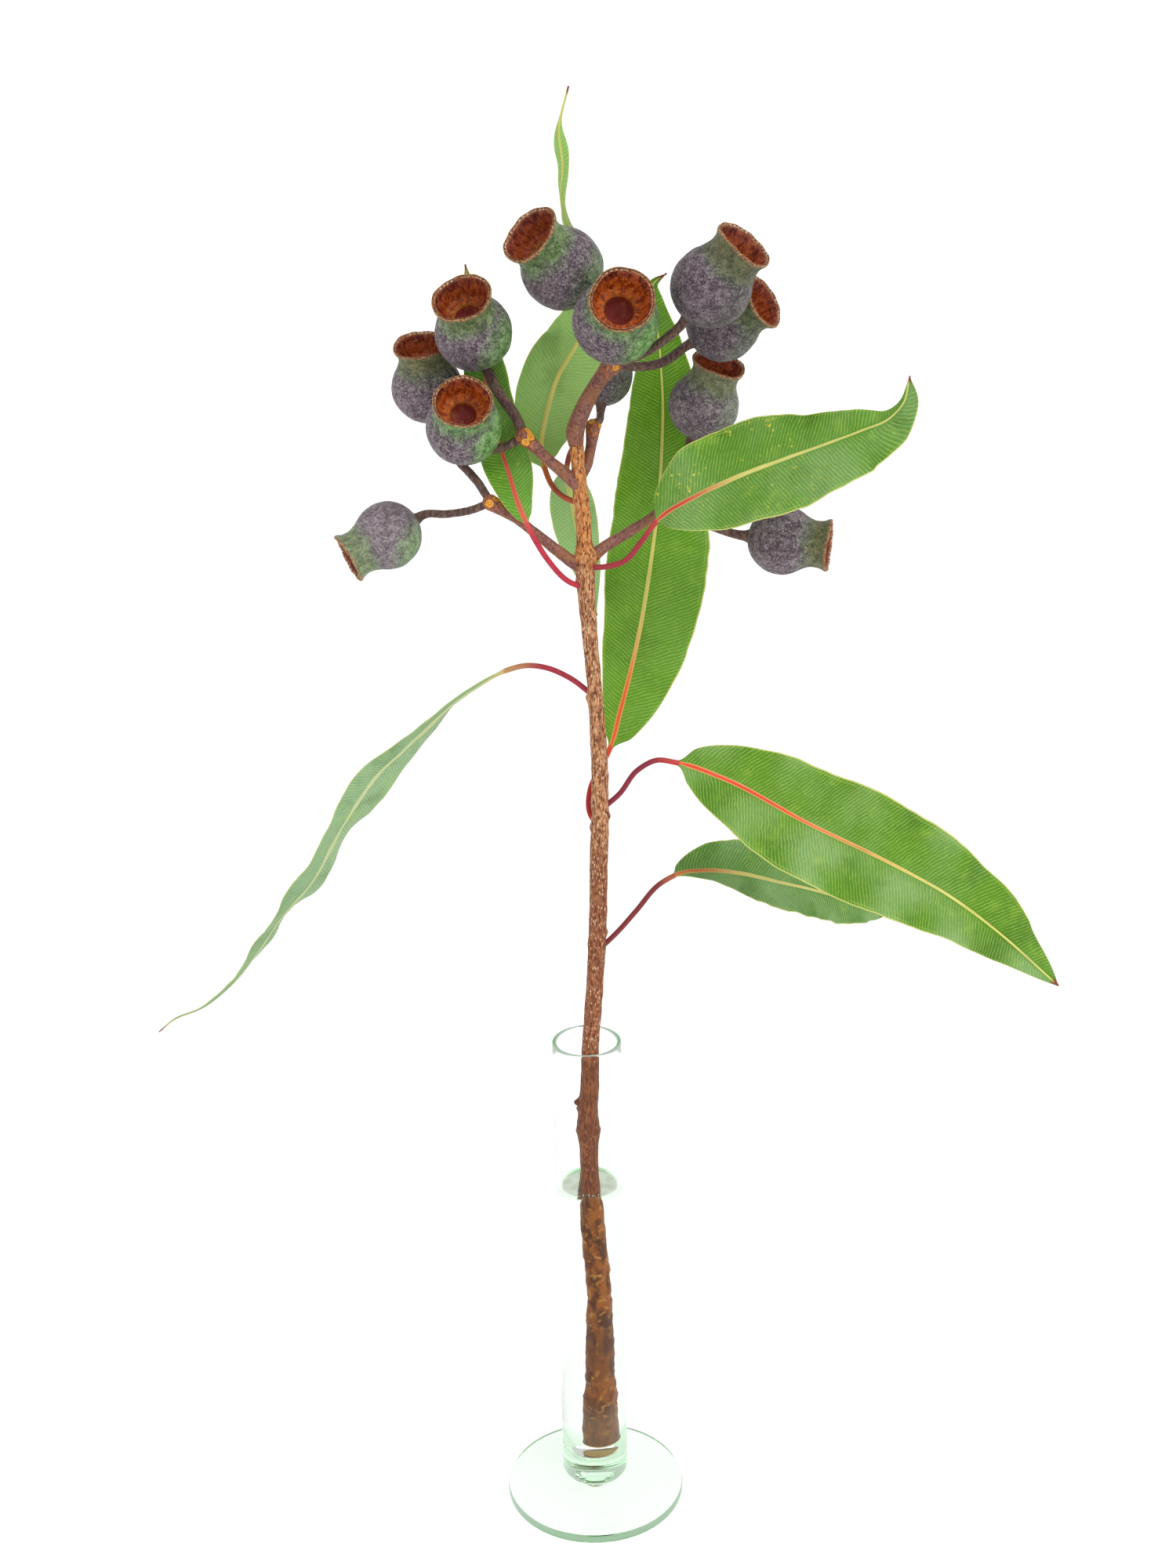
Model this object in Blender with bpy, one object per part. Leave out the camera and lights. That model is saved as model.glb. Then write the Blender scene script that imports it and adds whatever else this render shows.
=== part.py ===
"""A eucalyptus gum nut sprig that stands in a small glass bud vase of water.

Sizes and places are in millimetres, and one function turns them into metres.
+Z is up, the front is towards -Y, and the origin is the centre of the foot's underside.
"""
import math

import bmesh
import bpy
import numpy as np

MM = 0.001

# Gap between pieces that touch, and round the stem in the water
GAP = 0.3
STEM_GAP = 0.45

# Glass bud vase
FOOT_RADIUS = 37.0
FOOT_THICKNESS = 4.0
FOOT_EDGE = 1.2
TUBE_RADIUS = 13.6
TUBE_WALL = 1.7
TUBE_TOP = 212.5
TUBE_FLOOR = 15.0
TUBE_CORNER = 3.0
WATER_LEVEL = 148.0
FOOT_SIDES = 36
TUBE_SIDES = 24

# Stem, from its cut end up: x, y, z and radius
STEM = [
    (1.5, 2.6, TUBE_FLOOR + GAP, 4.6),
    (1.5, 2.6, 36, 4.3),
    (2, 0.5, 77, 3.8),
    (2, -2, 107, 3.7),
    (1, -3.3, 125, 3.8),
    (0.5, -4.6, 146, 3.7),
    (0, -6, 170, 3.8),
    (0, -6.3, 177, 4.4),
    (0, -6.6, 183, 3.9),
    (1, -7.3, 200, 3.5),
    (1.5, -8, 214, 3.3),
    (3, -9, 233, 3.3),
    (5, -9.5, 263, 3.3),
    (6, -9.5, 292, 3.4),
    (7, -9.5, 323, 3.1),
    (6, -9.5, 354, 2.8),
    (4, -9.5, 384, 2.8),
    (3, -9, 402, 3.3),
    (3, -8.5, 413, 2.8),
    (2.5, -8, 425, 2.8),
    (1.5, -7, 438, 2.5),
    (0.7, -6.2, 449, 2.5),
]
STEM_SIDES = 12

# Side stalks that carry the umbels, from the stem to the round knob's centre: x, y, z and
# radius. The top one stands on the stem's end, and the others start on its centre line.
TOP_STALK = [
    (0.4, -5.9, 453.5, 3.2),
    (2.2, -5.7, 459, 3.0),
    (6, -5.2, 466.5, 2.8),
    (10.5, -4.5, 473, 2.8),
    (14, -4, 477, 3.7),
]
BACK_STALK = [
    (1.6, -6.8, 437, 1.9),
    (4.2, -2.5, 441.5, 2.1),
    (5.8, 0, 447, 1.9),
    (6.8, 2, 454, 2.7),
]
LEFT_UPPER_STALK = [
    (1.8, -7.3, 434, 2.2),
    (-3, -8, 439, 2.3),
    (-9, -8.5, 444.5, 2.0),
    (-14, -8.2, 449.5, 2.2),
    (-17.5, -8, 453, 3.2),
]
LEFT_LOWER_STALK = [
    (3, -9, 404.5, 2.3),
    (-3, -9.2, 409, 2.2),
    (-12, -9, 416.5, 1.9),
    (-22, -8, 424.5, 1.9),
    (-30, -7, 429.5, 2.9),
]
RIGHT_STALK = [
    (3, -8.7, 407, 2.3),
    (9, -6, 411.5, 2.1),
    (18, -2, 416, 1.9),
    (28, 3, 421, 1.8),
    (35, 7, 425, 2.9),
]
STALK_SIDES = 10
# How the knob closes beyond its centre: way along and radius, as parts of the knob's radius
KNOB_END = ((0.5, 0.87), (0.85, 0.53))

# Gum nut: distance along its axis and radius, both as parts of the body's radius.
# The numbers go up the outside from the stalk, over the rim and down into the pit.
NUT_OUTSIDE = [
    (-0.97, 0.27),
    (-0.80, 0.61),
    (-0.45, 0.90),
    (0.00, 1.00),
    (0.40, 0.915),
    (0.68, 0.76),
    (0.93, 0.675),
    (1.17, 0.70),
    (1.31, 0.765),
    (1.37, 0.74),
]
NUT_INSIDE = [
    (1.36, 0.67),
    (1.05, 0.60),
    (0.76, 0.54),
    (0.66, 0.36),
    (0.34, 0.28),
]
NUT_PIT = 0.24
NUT_SIDES = 14
LEAD_IN = 0.2

# Each nut: body centre, the way its mouth faces, body radius, the stalk that bears it,
# the stalk's radius, and the points of its own stalk after the knob's centre
NUTS = [
    ("gumnut_01", (-3, 2, 509), (-0.55, -0.51, 0.66), 14.2, "stalk_top", 1.7,
     [(14, -4, 477), (9.8, 0.8, 479.5), (7, 7, 487)]),
    ("gumnut_02", (15, -20, 494), (0.10, -0.87, 0.48), 14.6, "stalk_top", 1.9,
     [(14, -4, 477)]),
    ("gumnut_03", (-34, -3, 488.5), (-0.17, -0.65, 0.74), 13.4, "stalk_left_upper", 1.9,
     [(-17.5, -8, 453), (-20, -6, 459), (-26, -1, 467)]),
    ("gumnut_04", (-52, 13, 467), (-0.06, -0.36, 0.93), 12.6, "stalk_left_lower", 1.5,
     [(-30, -7, 429.5), (-33.5, -4.5, 435), (-42, 4, 443)]),
    ("gumnut_05", (-38, -14, 458), (0.04, -0.78, 0.63), 13.2, "stalk_left_upper", 1.5,
     [(-17.5, -8, 453), (-23.5, -7, 449.5), (-31, -3.5, 447.5)]),
    ("gumnut_06", (-67, -6, 418), (-0.86, -0.29, -0.42), 12.1, "stalk_left_lower", 1.4,
     [(-30, -7, 429.5), (-36.5, -6.3, 426.8), (-46, -4.5, 425)]),
    ("gumnut_07", (47, -22, 505), (0.57, -0.29, 0.77), 13.7, "stalk_top", 1.6,
     [(14, -4, 477), (19.5, -6.8, 478.7), (30, -12.5, 485)]),
    ("gumnut_08", (52.7, 4, 488.5), (0.76, -0.41, 0.51), 12.9, "stalk_top", 1.6,
     [(14, -4, 477), (19, 0, 475.2), (31, 5, 475.3)]),
    ("gumnut_09", (47, 22, 457), (0.30, -0.29, 0.91), 12.7, "stalk_right", 1.6,
     [(35, 7, 425), (37, 12, 430.5), (40.5, 20, 437.5)]),
    ("gumnut_10", (74.8, 8, 410), (0.97, -0.22, -0.08), 12.6, "stalk_right", 1.6,
     [(35, 7, 425), (41, 9.3, 419.8), (50, 11.5, 414.5)]),
    ("gumnut_11", (11, 28, 467), (0.10, 0.45, 0.89), 10.6, "stalk_back", 1.4,
     [(6.8, 2, 454), (8, 9, 454), (9.3, 16.5, 453.5)]),
]

# Leaf blade and petiole
BLADE_HALF_THICKNESS = 0.35
RIB_HALF_WIDTH = 0.9
RIB_HALF_THICKNESS = 0.85
PETIOLE_RADIUS = 1.1
# Points across a section, as parts of the petiole's radius and of the blade's half width
PETIOLE_ACROSS = (-1.0, -0.8, -0.42, 0.0, 0.42, 0.8, 1.0)
PETIOLE_DEPTH = (0.3, 0.62, 0.92, 1.0, 0.92, 0.62, 0.3)
BLADE_ACROSS = 0.55
JOIN = 0.07
PETIOLE_STEPS = 6
BLADE_STEPS = 15

# Each leaf: half width, rise and fall of its outline, how much wider its right half is at the
# base and at the tip, the way its upper face looks, how far its halves fold up, height and
# number of its edge's waves, index of the point where the blade begins, and the midrib's
# points from the stem out: x, y, z and turn in degrees
LEAVES = [
    ("leaf_01", 13.0, 0.70, 2.00, 0.0, 0.0, (0.0, 1.0, 0.1), 0.10, 0.6, 2.5, 4,
     [(2, -7.7, 428.5, 0), (-3.5, -4.5, 430, 0), (-8, 1, 433, 0), (-10.5, 5, 438, 0), (-11.8, 8, 446, 0),
      (-10, 11.5, 456, 0), (-5.5, 15.5, 469, 10), (2, 20, 481, 20), (6, 24, 494, 40), (4, 25, 509, 65),
      (-0.5, 22.5, 520, 72), (-2.5, 20, 529, 72), (-2, 17.5, 542, 82), (-3, 16, 554, 60),
      (0.5, 14, 568, 60)]),
    ("leaf_02", 8.3, 0.60, 1.20, 0.0, 0.0, (-0.1, 1.0, 0.0), 0.10, 0.6, 2.0, 3,
     [(1, -6.5, 444, 0), (0.5, -1, 447, 0), (-1.5, 5, 444, 0), (-3, 8, 437, 0), (-1.5, 12, 425, 0),
      (1, 14, 410, 0), (4, 13.5, 398, 0), (7, 11, 382, 0)]),
    ("leaf_03", 9.8, 0.70, 1.00, 0.10, 0.20, (0.2, -1.0, 0.1), 0.10, 0.8, 2.5, 4,
     [(3.2, -9.2, 398, 0), (-3, -12, 401.5, 0), (-10, -14.5, 410, 0), (-14, -15.5, 417, 0),
      (-17, -15, 423, 0), (-20, -12, 430, 10), (-22.8, -5, 438, 20), (-26.5, 3, 449, 30),
      (-30.5, 10.5, 466, 40), (-33.5, 15.5, 484, 40), (-37, 17, 509, 40)]),
    ("leaf_04", 19.0, 0.75, 1.05, 0.30, 0.0, (0.1, -1.0, 0.25), 0.12, 0.9, 2.5, 4,
     [(6.8, -9.5, 305, 0), (2.8, -5.5, 311, 0), (3.5, -1.5, 319, 0), (7, 2, 325, 0), (10.7, 5, 331.3, 0),
      (15, 9.5, 345, 0), (22.5, 18, 372, 0), (28, 27, 401, -5), (31.3, 33, 427, -8), (32.6, 37, 452, -10),
      (31.6, 39.5, 476, -8), (29.7, 39, 491, 0), (29.6, 38.3, 498, 0), (34.5, 37, 502, 0)]),
    ("leaf_05", 18.7, 0.65, 1.05, -0.15, 0.60, (0.1, -0.8, 0.6), 0.10, 0.7, 2.0, 4,
     [(3.2, -9, 406, 0), (9, -12, 406.5, 0), (17, -13.5, 409, 0), (23, -14, 416, 0), (28, -14, 422.7, 0),
      (42.5, -18, 433, 0), (54, -21, 439, 0), (83, -31, 452, 0), (97, -35, 458, 5), (106, -37, 462.5, 15),
      (110.5, -36.5, 467.5, 25), (112.5, -34, 476, 30)]),
    ("leaf_06", 21.0, 0.60, 0.90, 0.10, -0.12, (0.05, -0.9, 0.43), 0.08, 1.2, 3.0, 4,
     [(7, -9.5, 313, 0), (14, -9, 319, 0), (21, -8, 328, 0), (28, -7.5, 331.5, 0), (35, -7, 330.3, 0),
      (53, -8.5, 324, 0), (82, -13.5, 308.6, 0), (117, -19, 291.5, 0), (135, -22, 281.5, 0),
      (153, -25, 268, 0), (177, -28, 246, 0)]),
    ("leaf_07", 13.0, 0.60, 0.75, -0.50, 0.0, (-0.5, -0.75, 0.6), 0.14, 1.2, 3.5, 4,
     [(3.5, -9.3, 254, 0), (13, -6, 262, 0), (20, -3, 269, 0), (29, 1, 278, 0), (34, 3.5, 280, 0),
      (48, 12, 278.5, 0), (61, 18, 274.5, 0), (77, 26, 267, 0), (93, 35, 259, 0), (108, 44, 250, 0),
      (123, 54, 239, 0)]),
    ("leaf_08", 9.0, 0.75, 0.95, 0.40, 0.0, (-0.2, 1.0, -0.2), 0.10, 1.0, 4.0, 4,
     [(4.8, -9.5, 358, 0), (-3, -6.5, 363.5, 0), (-12.5, -3.5, 367, 0), (-19.5, -1, 367, 0),
      (-25.7, 1, 365, 30), (-35, 4, 359.5, 55), (-48.7, 7, 349.5, 58), (-57, 8, 341, 58),
      (-80, 10, 318, 55), (-91, 10, 302, 52), (-107, 10.5, 275, 62), (-116.5, 11, 264.5, 78),
      (-127, 11.5, 249.5, 60), (-137.5, 12, 236, 74), (-151, 12, 224.5, 72), (-164, 12, 218.5, 70),
      (-169.5, 12, 213.8, 70)]),
]

# Looks of the sub-parts: red, green, blue, roughness
GLASS = (0.82, 0.92, 0.88, 0.05)
WATER = (0.85, 0.90, 0.88, 0.02)
BARK = (0.42, 0.24, 0.12, 0.80)
STALK_SKIN = (0.25, 0.13, 0.10, 0.70)
NUT_SKIN = (0.24, 0.20, 0.23, 0.65)
LEAF_UPPER = (0.16, 0.36, 0.07, 0.45)
LEAF_UNDER = (0.36, 0.50, 0.28, 0.55)
UNDERSIDE_SEEN = ("leaf_01", "leaf_02", "leaf_08")


class Route:
    """A smooth curve through points placed by hand: x, y, z and what else a point carries."""

    def __init__(self, points):
        self.points = np.array(points, dtype=float)
        steps = np.linalg.norm(np.diff(self.points[:, :3], axis=0), axis=1)
        self.knots = np.concatenate(([0.0], np.cumsum(steps)))
        self.slopes = np.gradient(self.points, self.knots, axis=0)

    def at(self, distance):
        span = int(np.searchsorted(self.knots, distance, side="right")) - 1
        span = min(max(span, 0), len(self.knots) - 2)
        length = self.knots[span + 1] - self.knots[span]
        u = (distance - self.knots[span]) / length
        start = self.points[span] * (2 * u ** 3 - 3 * u ** 2 + 1)
        start_slope = self.slopes[span] * length * (u ** 3 - 2 * u ** 2 + u)
        end = self.points[span + 1] * (3 * u ** 2 - 2 * u ** 3)
        end_slope = self.slopes[span + 1] * length * (u ** 3 - u ** 2)
        return start + start_slope + end + end_slope

    def stations(self, per_span):
        """Distances at every point and at even steps between them."""
        found = []
        for low, high in zip(self.knots[:-1], self.knots[1:]):
            found += [low + (high - low) * k / per_span for k in range(per_span)]
        return found + [self.knots[-1]]


def unit(vector):
    vector = np.array(vector, dtype=float)
    return vector / np.linalg.norm(vector)


def tangents(centres):
    return [unit(t) for t in np.gradient(np.array(centres), axis=0)]


def carried_sides(directions, first):
    """A side vector for each direction, carried along without twist."""
    side = np.array(first, dtype=float)
    sides = []
    for direction in directions:
        side = unit(side - np.dot(side, direction) * direction)
        sides.append(side)
    return sides


def ring(centre, direction, side, radius, sides):
    """Points of a circle round a centre, across a direction."""
    other = np.cross(direction, side)
    turns = [2 * math.pi * k / sides for k in range(sides)]
    return [centre + radius * (math.cos(a) * side + math.sin(a) * other) for a in turns]


def material(name, look, alpha=1.0):
    made = bpy.data.materials.new(name)
    made.use_nodes = True
    shader = made.node_tree.nodes["Principled BSDF"]
    shader.inputs["Base Color"].default_value = (look[0], look[1], look[2], 1.0)
    shader.inputs["Roughness"].default_value = look[3]
    shader.inputs["Metallic"].default_value = 0.0
    shader.inputs["Alpha"].default_value = alpha
    made.diffuse_color = (look[0], look[1], look[2], alpha)
    return made


def add_mesh(name, points, faces, look):
    """An object from points in millimetres, with its faces turned outwards."""
    mesh = bpy.data.meshes.new(name)
    mesh.from_pydata([tuple(MM * c for c in p) for p in points], [], faces)
    work = bmesh.new()
    work.from_mesh(mesh)
    bmesh.ops.recalc_face_normals(work, faces=work.faces)
    work.to_mesh(mesh)
    work.free()
    mesh.shade_smooth()
    mesh.set_sharp_from_angle(angle=math.radians(40))
    made = bpy.data.objects.new(name, mesh)
    mesh.materials.append(look)
    bpy.context.scene.collection.objects.link(made)
    return made


def skin_rings(rings, closed_loop=False):
    """Quads between rings of equal counts, with flat ends unless the rings make a loop."""
    count = len(rings[0])
    points = [p for each in rings for p in each]
    faces = []
    last = len(rings) if closed_loop else len(rings) - 1
    for i in range(last):
        here = i * count
        there = (i + 1) % len(rings) * count
        for k in range(count):
            k2 = (k + 1) % count
            faces.append((here + k, here + k2, there + k2, there + k))
    if not closed_loop:
        faces.append(tuple(range(count)))
        faces.append(tuple(range(len(points) - count, len(points))))
    return points, faces


def turned_rings(profile, sides):
    """Rings of a shape turned about Z, from pairs of radius and height."""
    up = np.array((0.0, 0.0, 1.0))
    side = np.array((1.0, 0.0, 0.0))
    return [ring(up * z, up, side, r, sides) for r, z in profile]


def quarter(radius, height, size, start, steps):
    """Points of a rounded corner: centre radius and height, size, and first angle in degrees."""
    angles = [math.radians(start + 90 * k / steps) for k in range(steps + 1)]
    return [(radius + size * math.cos(a), height + size * math.sin(a)) for a in angles]


def tube_rings(route, sides, grow=0.0, end=()):
    """Rings along a route whose points carry a radius, longer and wider by what it grows."""
    found = [route.at(s) for s in route.stations(2)]
    centres = [p[:3] for p in found]
    directions = tangents(centres)
    radii = [p[3] + grow for p in found]
    centres[0] = centres[0] - grow * directions[0]
    last, knob = centres[-1], radii[-1]
    for along, part in end:
        centres.append(last + directions[-1] * along * knob)
        directions.append(directions[-1])
        radii.append(part * knob)
    if not end:
        centres[-1] = last + grow * directions[-1]
    side_list = carried_sides(directions, (1.0, 0.1, 0.0))
    return [ring(c, d, s, r, sides)
            for c, d, s, r in zip(centres, directions, side_list, radii)]


def foot():
    """The flat round foot, with its rim rounded above and below."""
    edge = FOOT_RADIUS - FOOT_EDGE
    profile = quarter(edge, FOOT_EDGE, FOOT_EDGE, -90, 2)
    profile += quarter(edge, FOOT_THICKNESS - FOOT_EDGE, FOOT_EDGE, 0, 2)
    points, faces = skin_rings(turned_rings(profile, FOOT_SIDES))
    return add_mesh("vase_foot", points, faces, material("foot_glass", GLASS, 0.35))


def tube():
    """The straight glass tube with a thick floor, standing on the foot."""
    low = FOOT_THICKNESS + GAP
    inner = TUBE_RADIUS - TUBE_WALL
    lip = TUBE_WALL / 2
    profile = quarter(TUBE_RADIUS - FOOT_EDGE, low + FOOT_EDGE, FOOT_EDGE, -90, 2)
    profile += quarter(TUBE_RADIUS - lip, TUBE_TOP - lip, lip, 0, 2)
    profile += quarter(inner + lip, TUBE_TOP - lip, lip, 90, 2)[1:]
    corner = quarter(inner - TUBE_CORNER, TUBE_FLOOR + TUBE_CORNER, TUBE_CORNER, -90, 3)
    profile += corner[::-1]
    points, faces = skin_rings(turned_rings(profile, TUBE_SIDES))
    return add_mesh("vase_tube", points, faces, material("tube_glass", GLASS, 0.35))


def water(stem_route):
    """Water inside the tube, with a plain hole where the stem stands in it."""
    outer = TUBE_RADIUS - TUBE_WALL - GAP
    low = TUBE_FLOOR + GAP
    profile = quarter(outer - TUBE_CORNER, low + TUBE_CORNER, TUBE_CORNER, -90, 3)
    profile.append((outer, WATER_LEVEL))
    rings = turned_rings(profile, TUBE_SIDES)
    up = np.array((0.0, 0.0, 1.0))
    side = np.array((1.0, 0.0, 0.0))
    heights = [WATER_LEVEL, 125, 107, 77, 56, 36, low]
    for height in heights:
        place = centre_at_height(stem_route, height)
        middle = np.array((place[0], place[1], height))
        rings.append(ring(middle, up, side, place[3] + STEM_GAP, TUBE_SIDES))
    points, faces = skin_rings(rings, closed_loop=True)
    return add_mesh("water", points, faces, material("water", WATER, 0.35))


def centre_at_height(route, height):
    """The route's point at a height, found by halving."""
    low, high = 0.0, route.knots[-1]
    for _ in range(40):
        middle = (low + high) / 2
        if route.at(middle)[2] < height:
            low = middle
        else:
            high = middle
    return route.at(low)


def clearance(name, points, faces):
    """A hidden guide that cuts a neighbour back to its seat."""
    guide = add_mesh(name, points, faces, material(name, BARK))
    guide.hide_render = True
    guide.display_type = "WIRE"
    return guide


def cut_back(made, guide):
    cut = made.modifiers.new("seat", "BOOLEAN")
    cut.operation = "DIFFERENCE"
    cut.solver = "EXACT"
    cut.object = guide
    return made


def stem(route):
    add_mesh("stem", *skin_rings(tube_rings(route, STEM_SIDES)), material("bark", BARK))
    return clearance("stem_clearance", *skin_rings(tube_rings(route, STEM_SIDES, GAP)))


def umbel_stalk(name, points_given, stem_guide):
    """A side stalk with a knob at its end. The top one stands on the stem's end."""
    route = Route(points_given)
    rings = tube_rings(route, STALK_SIDES, 0.0, KNOB_END)
    made = add_mesh(name, *skin_rings(rings), material(name + "_skin", STALK_SKIN))
    if stem_guide:
        cut_back(made, stem_guide)
    return clearance(name + "_clearance", *skin_rings(tube_rings(route, STALK_SIDES, GAP, KNOB_END)))


def gumnut(name, centre, facing, radius, stalk_radius, stalk_points, guide):
    """An urn-shaped nut with its cup and pit, on a stalk of its own that grows into its base."""
    axis = unit(facing)
    centre = np.array(centre, dtype=float)
    base = centre - axis * radius
    lead = base - axis * radius * LEAD_IN
    route = Route([*stalk_points, tuple(lead), tuple(base)])
    count = len(stalk_points) + 3
    centres = [route.at(route.knots[-1] * k / count)[:3] for k in range(count)]
    directions = tangents([*centres, base])[:-1]
    radii = [stalk_radius] * count
    for along, part in NUT_OUTSIDE + NUT_INSIDE:
        centres.append(centre + axis * along * radius)
        directions.append(axis)
        radii.append(part * radius)
    side_list = carried_sides(directions, (0.3, 0.9, 0.2))
    rings = [ring(c, d, s, r, NUT_SIDES)
             for c, d, s, r in zip(centres, directions, side_list, radii)]
    points, faces = skin_rings(rings)
    faces.pop()
    start = len(points) - NUT_SIDES
    points.append(centre + axis * NUT_PIT * radius)
    faces += [(start + k, start + (k + 1) % NUT_SIDES, len(points) - 1) for k in range(NUT_SIDES)]
    made = add_mesh(name, points, faces, material(name + "_skin", NUT_SKIN))
    return cut_back(made, guide)


def smooth_step(value):
    value = min(max(value, 0.0), 1.0)
    return value * value * (3 - 2 * value)


def leaf_section(place, direction, facing, half, lean, turn, join, lift):
    """The upper and lower points across a leaf or its petiole, from left to right."""
    normal = unit(facing - np.dot(facing, direction) * direction)
    across = np.cross(direction, normal)
    turn = math.radians(turn)
    new_across = math.cos(turn) * across + math.sin(turn) * normal
    normal = math.cos(turn) * normal - math.sin(turn) * across
    left = half * (1 - lean)
    right = half * (1 + lean)
    rib = min(RIB_HALF_WIDTH, 0.4 * left, 0.4 * right)
    blade = (-left, -BLADE_ACROSS * left, -rib, 0.0, rib, BLADE_ACROSS * right, right)
    rib_depth = min(RIB_HALF_THICKNESS, BLADE_HALF_THICKNESS + 0.1 * half)
    upper = []
    lower = []
    for k, at_petiole in enumerate(PETIOLE_ACROSS):
        x = (1 - join) * at_petiole * PETIOLE_RADIUS + join * blade[k]
        blade_depth = rib_depth if k == 3 else BLADE_HALF_THICKNESS
        depth = (1 - join) * PETIOLE_DEPTH[k] * PETIOLE_RADIUS + join * blade_depth
        middle = place + new_across * x + normal * join * lift(x / half, half)
        upper.append(middle + normal * depth)
        lower.append(middle - normal * depth)
    return upper, lower


def leaf(name, widest, rise, fall, base_lean, tip_lean, facing, fold, wave, waves, base, midrib, guide):
    """A blade with its rib, folded and waved, on its petiole, as one closed body."""
    route = Route(midrib)
    blade_start = route.knots[base]
    blade_length = route.knots[-1] - blade_start
    steps = BLADE_STEPS + max(0, len(midrib) - base - 8) // 2 * 2
    stations = [blade_start * k / PETIOLE_STEPS for k in range(PETIOLE_STEPS)]
    stations += [blade_start + blade_length * (k / steps) ** 1.1 for k in range(steps + 1)]
    found = [route.at(s) for s in stations]
    directions = tangents([p[:3] for p in found])
    peak = rise / (rise + fall)
    sections = []
    for station, place, direction in zip(stations, found, directions):
        t = max(0.0, (station - blade_start) / blade_length)
        outline = (t / peak) ** rise * ((1 - t) / (1 - peak)) ** fall if 0 < t < 1 else 0.0
        half = max(PETIOLE_RADIUS * (1 - 0.5 * t), widest * outline)
        lean = base_lean * (1 - t) ** 2 + tip_lean * t ** 2

        def lift(part, half_width, t=t):
            ripple = wave * math.sin(2 * math.pi * waves * t + 1.3 * np.sign(part))
            return fold * abs(part) * half_width + ripple * part * part * min(1.0, half_width / 6)

        sections.append(leaf_section(place[:3], direction, np.array(facing), half, lean, place[3],
                                     smooth_step(t / JOIN), lift))
    points, faces = leaf_skin(sections)
    look = LEAF_UNDER if name in UNDERSIDE_SEEN else LEAF_UPPER
    made = add_mesh(name, points, faces, material(name + "_blade", look))
    return cut_back(made, guide)


def leaf_skin(sections):
    """Triangles over a leaf's sections, split alike on the upper and the lower face."""
    count = len(sections[0][0])
    points = []
    for upper, lower in sections:
        points += upper + lower
    faces = []
    for i in range(len(sections) - 1):
        here = 2 * count * i
        there = here + 2 * count
        for k in range(count - 1):
            for layer in (0, count):
                a, b = here + layer + k, here + layer + k + 1
                c, d = there + layer + k + 1, there + layer + k
                faces += [(a, b, c), (a, c, d)] if layer == 0 else [(a, c, b), (a, d, c)]
        for k in (0, count - 1):
            a, b = here + k, here + count + k
            c, d = there + count + k, there + k
            faces += [(a, c, b), (a, d, c)] if k == 0 else [(a, b, c), (a, c, d)]
    for start in (0, 2 * count * (len(sections) - 1)):
        for k in range(count - 1):
            faces.append((start + k, start + k + 1, start + count + k + 1, start + count + k))
    return points, faces


def main():
    for old in list(bpy.data.objects):
        bpy.data.objects.remove(old)
    foot()
    tube()
    stem_route = Route(STEM)
    stem_guide = stem(stem_route)
    water(stem_route)
    stem_end = np.array(STEM[-1][:3])
    seat = stem_end + GAP * unit(np.array(TOP_STALK[0][:3]) - stem_end)
    top = [(*seat, TOP_STALK[0][3]), *TOP_STALK]
    guides = {}
    for name, points, seat in (
        ("stalk_top", top, None),
        ("stalk_back", BACK_STALK, stem_guide),
        ("stalk_left_upper", LEFT_UPPER_STALK, stem_guide),
        ("stalk_left_lower", LEFT_LOWER_STALK, stem_guide),
        ("stalk_right", RIGHT_STALK, stem_guide),
    ):
        guides[name] = umbel_stalk(name, points, seat)
    for name, centre, facing, radius, bearer, stalk_radius, stalk_points in NUTS:
        gumnut(name, centre, facing, radius, stalk_radius, stalk_points, guides[bearer])
    for given in LEAVES:
        leaf(*given, stem_guide)


main()
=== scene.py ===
"""The looks of a eucalyptus gum nut sprig that stands in a small glass bud vase of water.

Sizes and places are in millimetres in the model's own frame, and MM turns them into metres.
The routes, profiles and outlines repeat the ones that the solids were built from, apart from
the tube's lower end and the stem's cut end, which follow the photograph more closely.
"""
import math
from collections import namedtuple

import bpy
import numpy as np
from mathutils import Matrix, Vector, noise


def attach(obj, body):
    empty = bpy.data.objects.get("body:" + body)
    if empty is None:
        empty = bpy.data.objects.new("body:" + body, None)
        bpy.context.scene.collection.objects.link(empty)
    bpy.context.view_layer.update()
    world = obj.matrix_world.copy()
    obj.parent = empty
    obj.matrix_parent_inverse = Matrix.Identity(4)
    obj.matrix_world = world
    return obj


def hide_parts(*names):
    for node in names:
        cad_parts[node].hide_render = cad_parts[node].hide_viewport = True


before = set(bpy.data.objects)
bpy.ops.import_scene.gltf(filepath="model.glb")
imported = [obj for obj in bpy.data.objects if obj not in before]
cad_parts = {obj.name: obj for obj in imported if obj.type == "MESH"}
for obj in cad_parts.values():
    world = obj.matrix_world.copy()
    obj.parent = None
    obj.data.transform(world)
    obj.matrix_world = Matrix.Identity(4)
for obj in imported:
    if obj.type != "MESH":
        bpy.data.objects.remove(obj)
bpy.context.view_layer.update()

MM = 0.001

# Studio: the light from all round, the floor, its far walls in metres, and two lamps, each with
# the way it stands, its strength and its width in degrees
WORLD_LIGHT = 0.66
FLOOR_GREY = (0.5, 0.5, 0.5, 1)
FLOOR_GLOW = 0.58
FLOOR_HALF = 60.0
WALL_HEIGHT = 26.0
LAMPS = [
    ("key", (0.6, -0.6, 1.0), 1.3, 30),
    ("fill", (-0.9, -0.5, 0.8), 0.35, 60),
]

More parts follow.
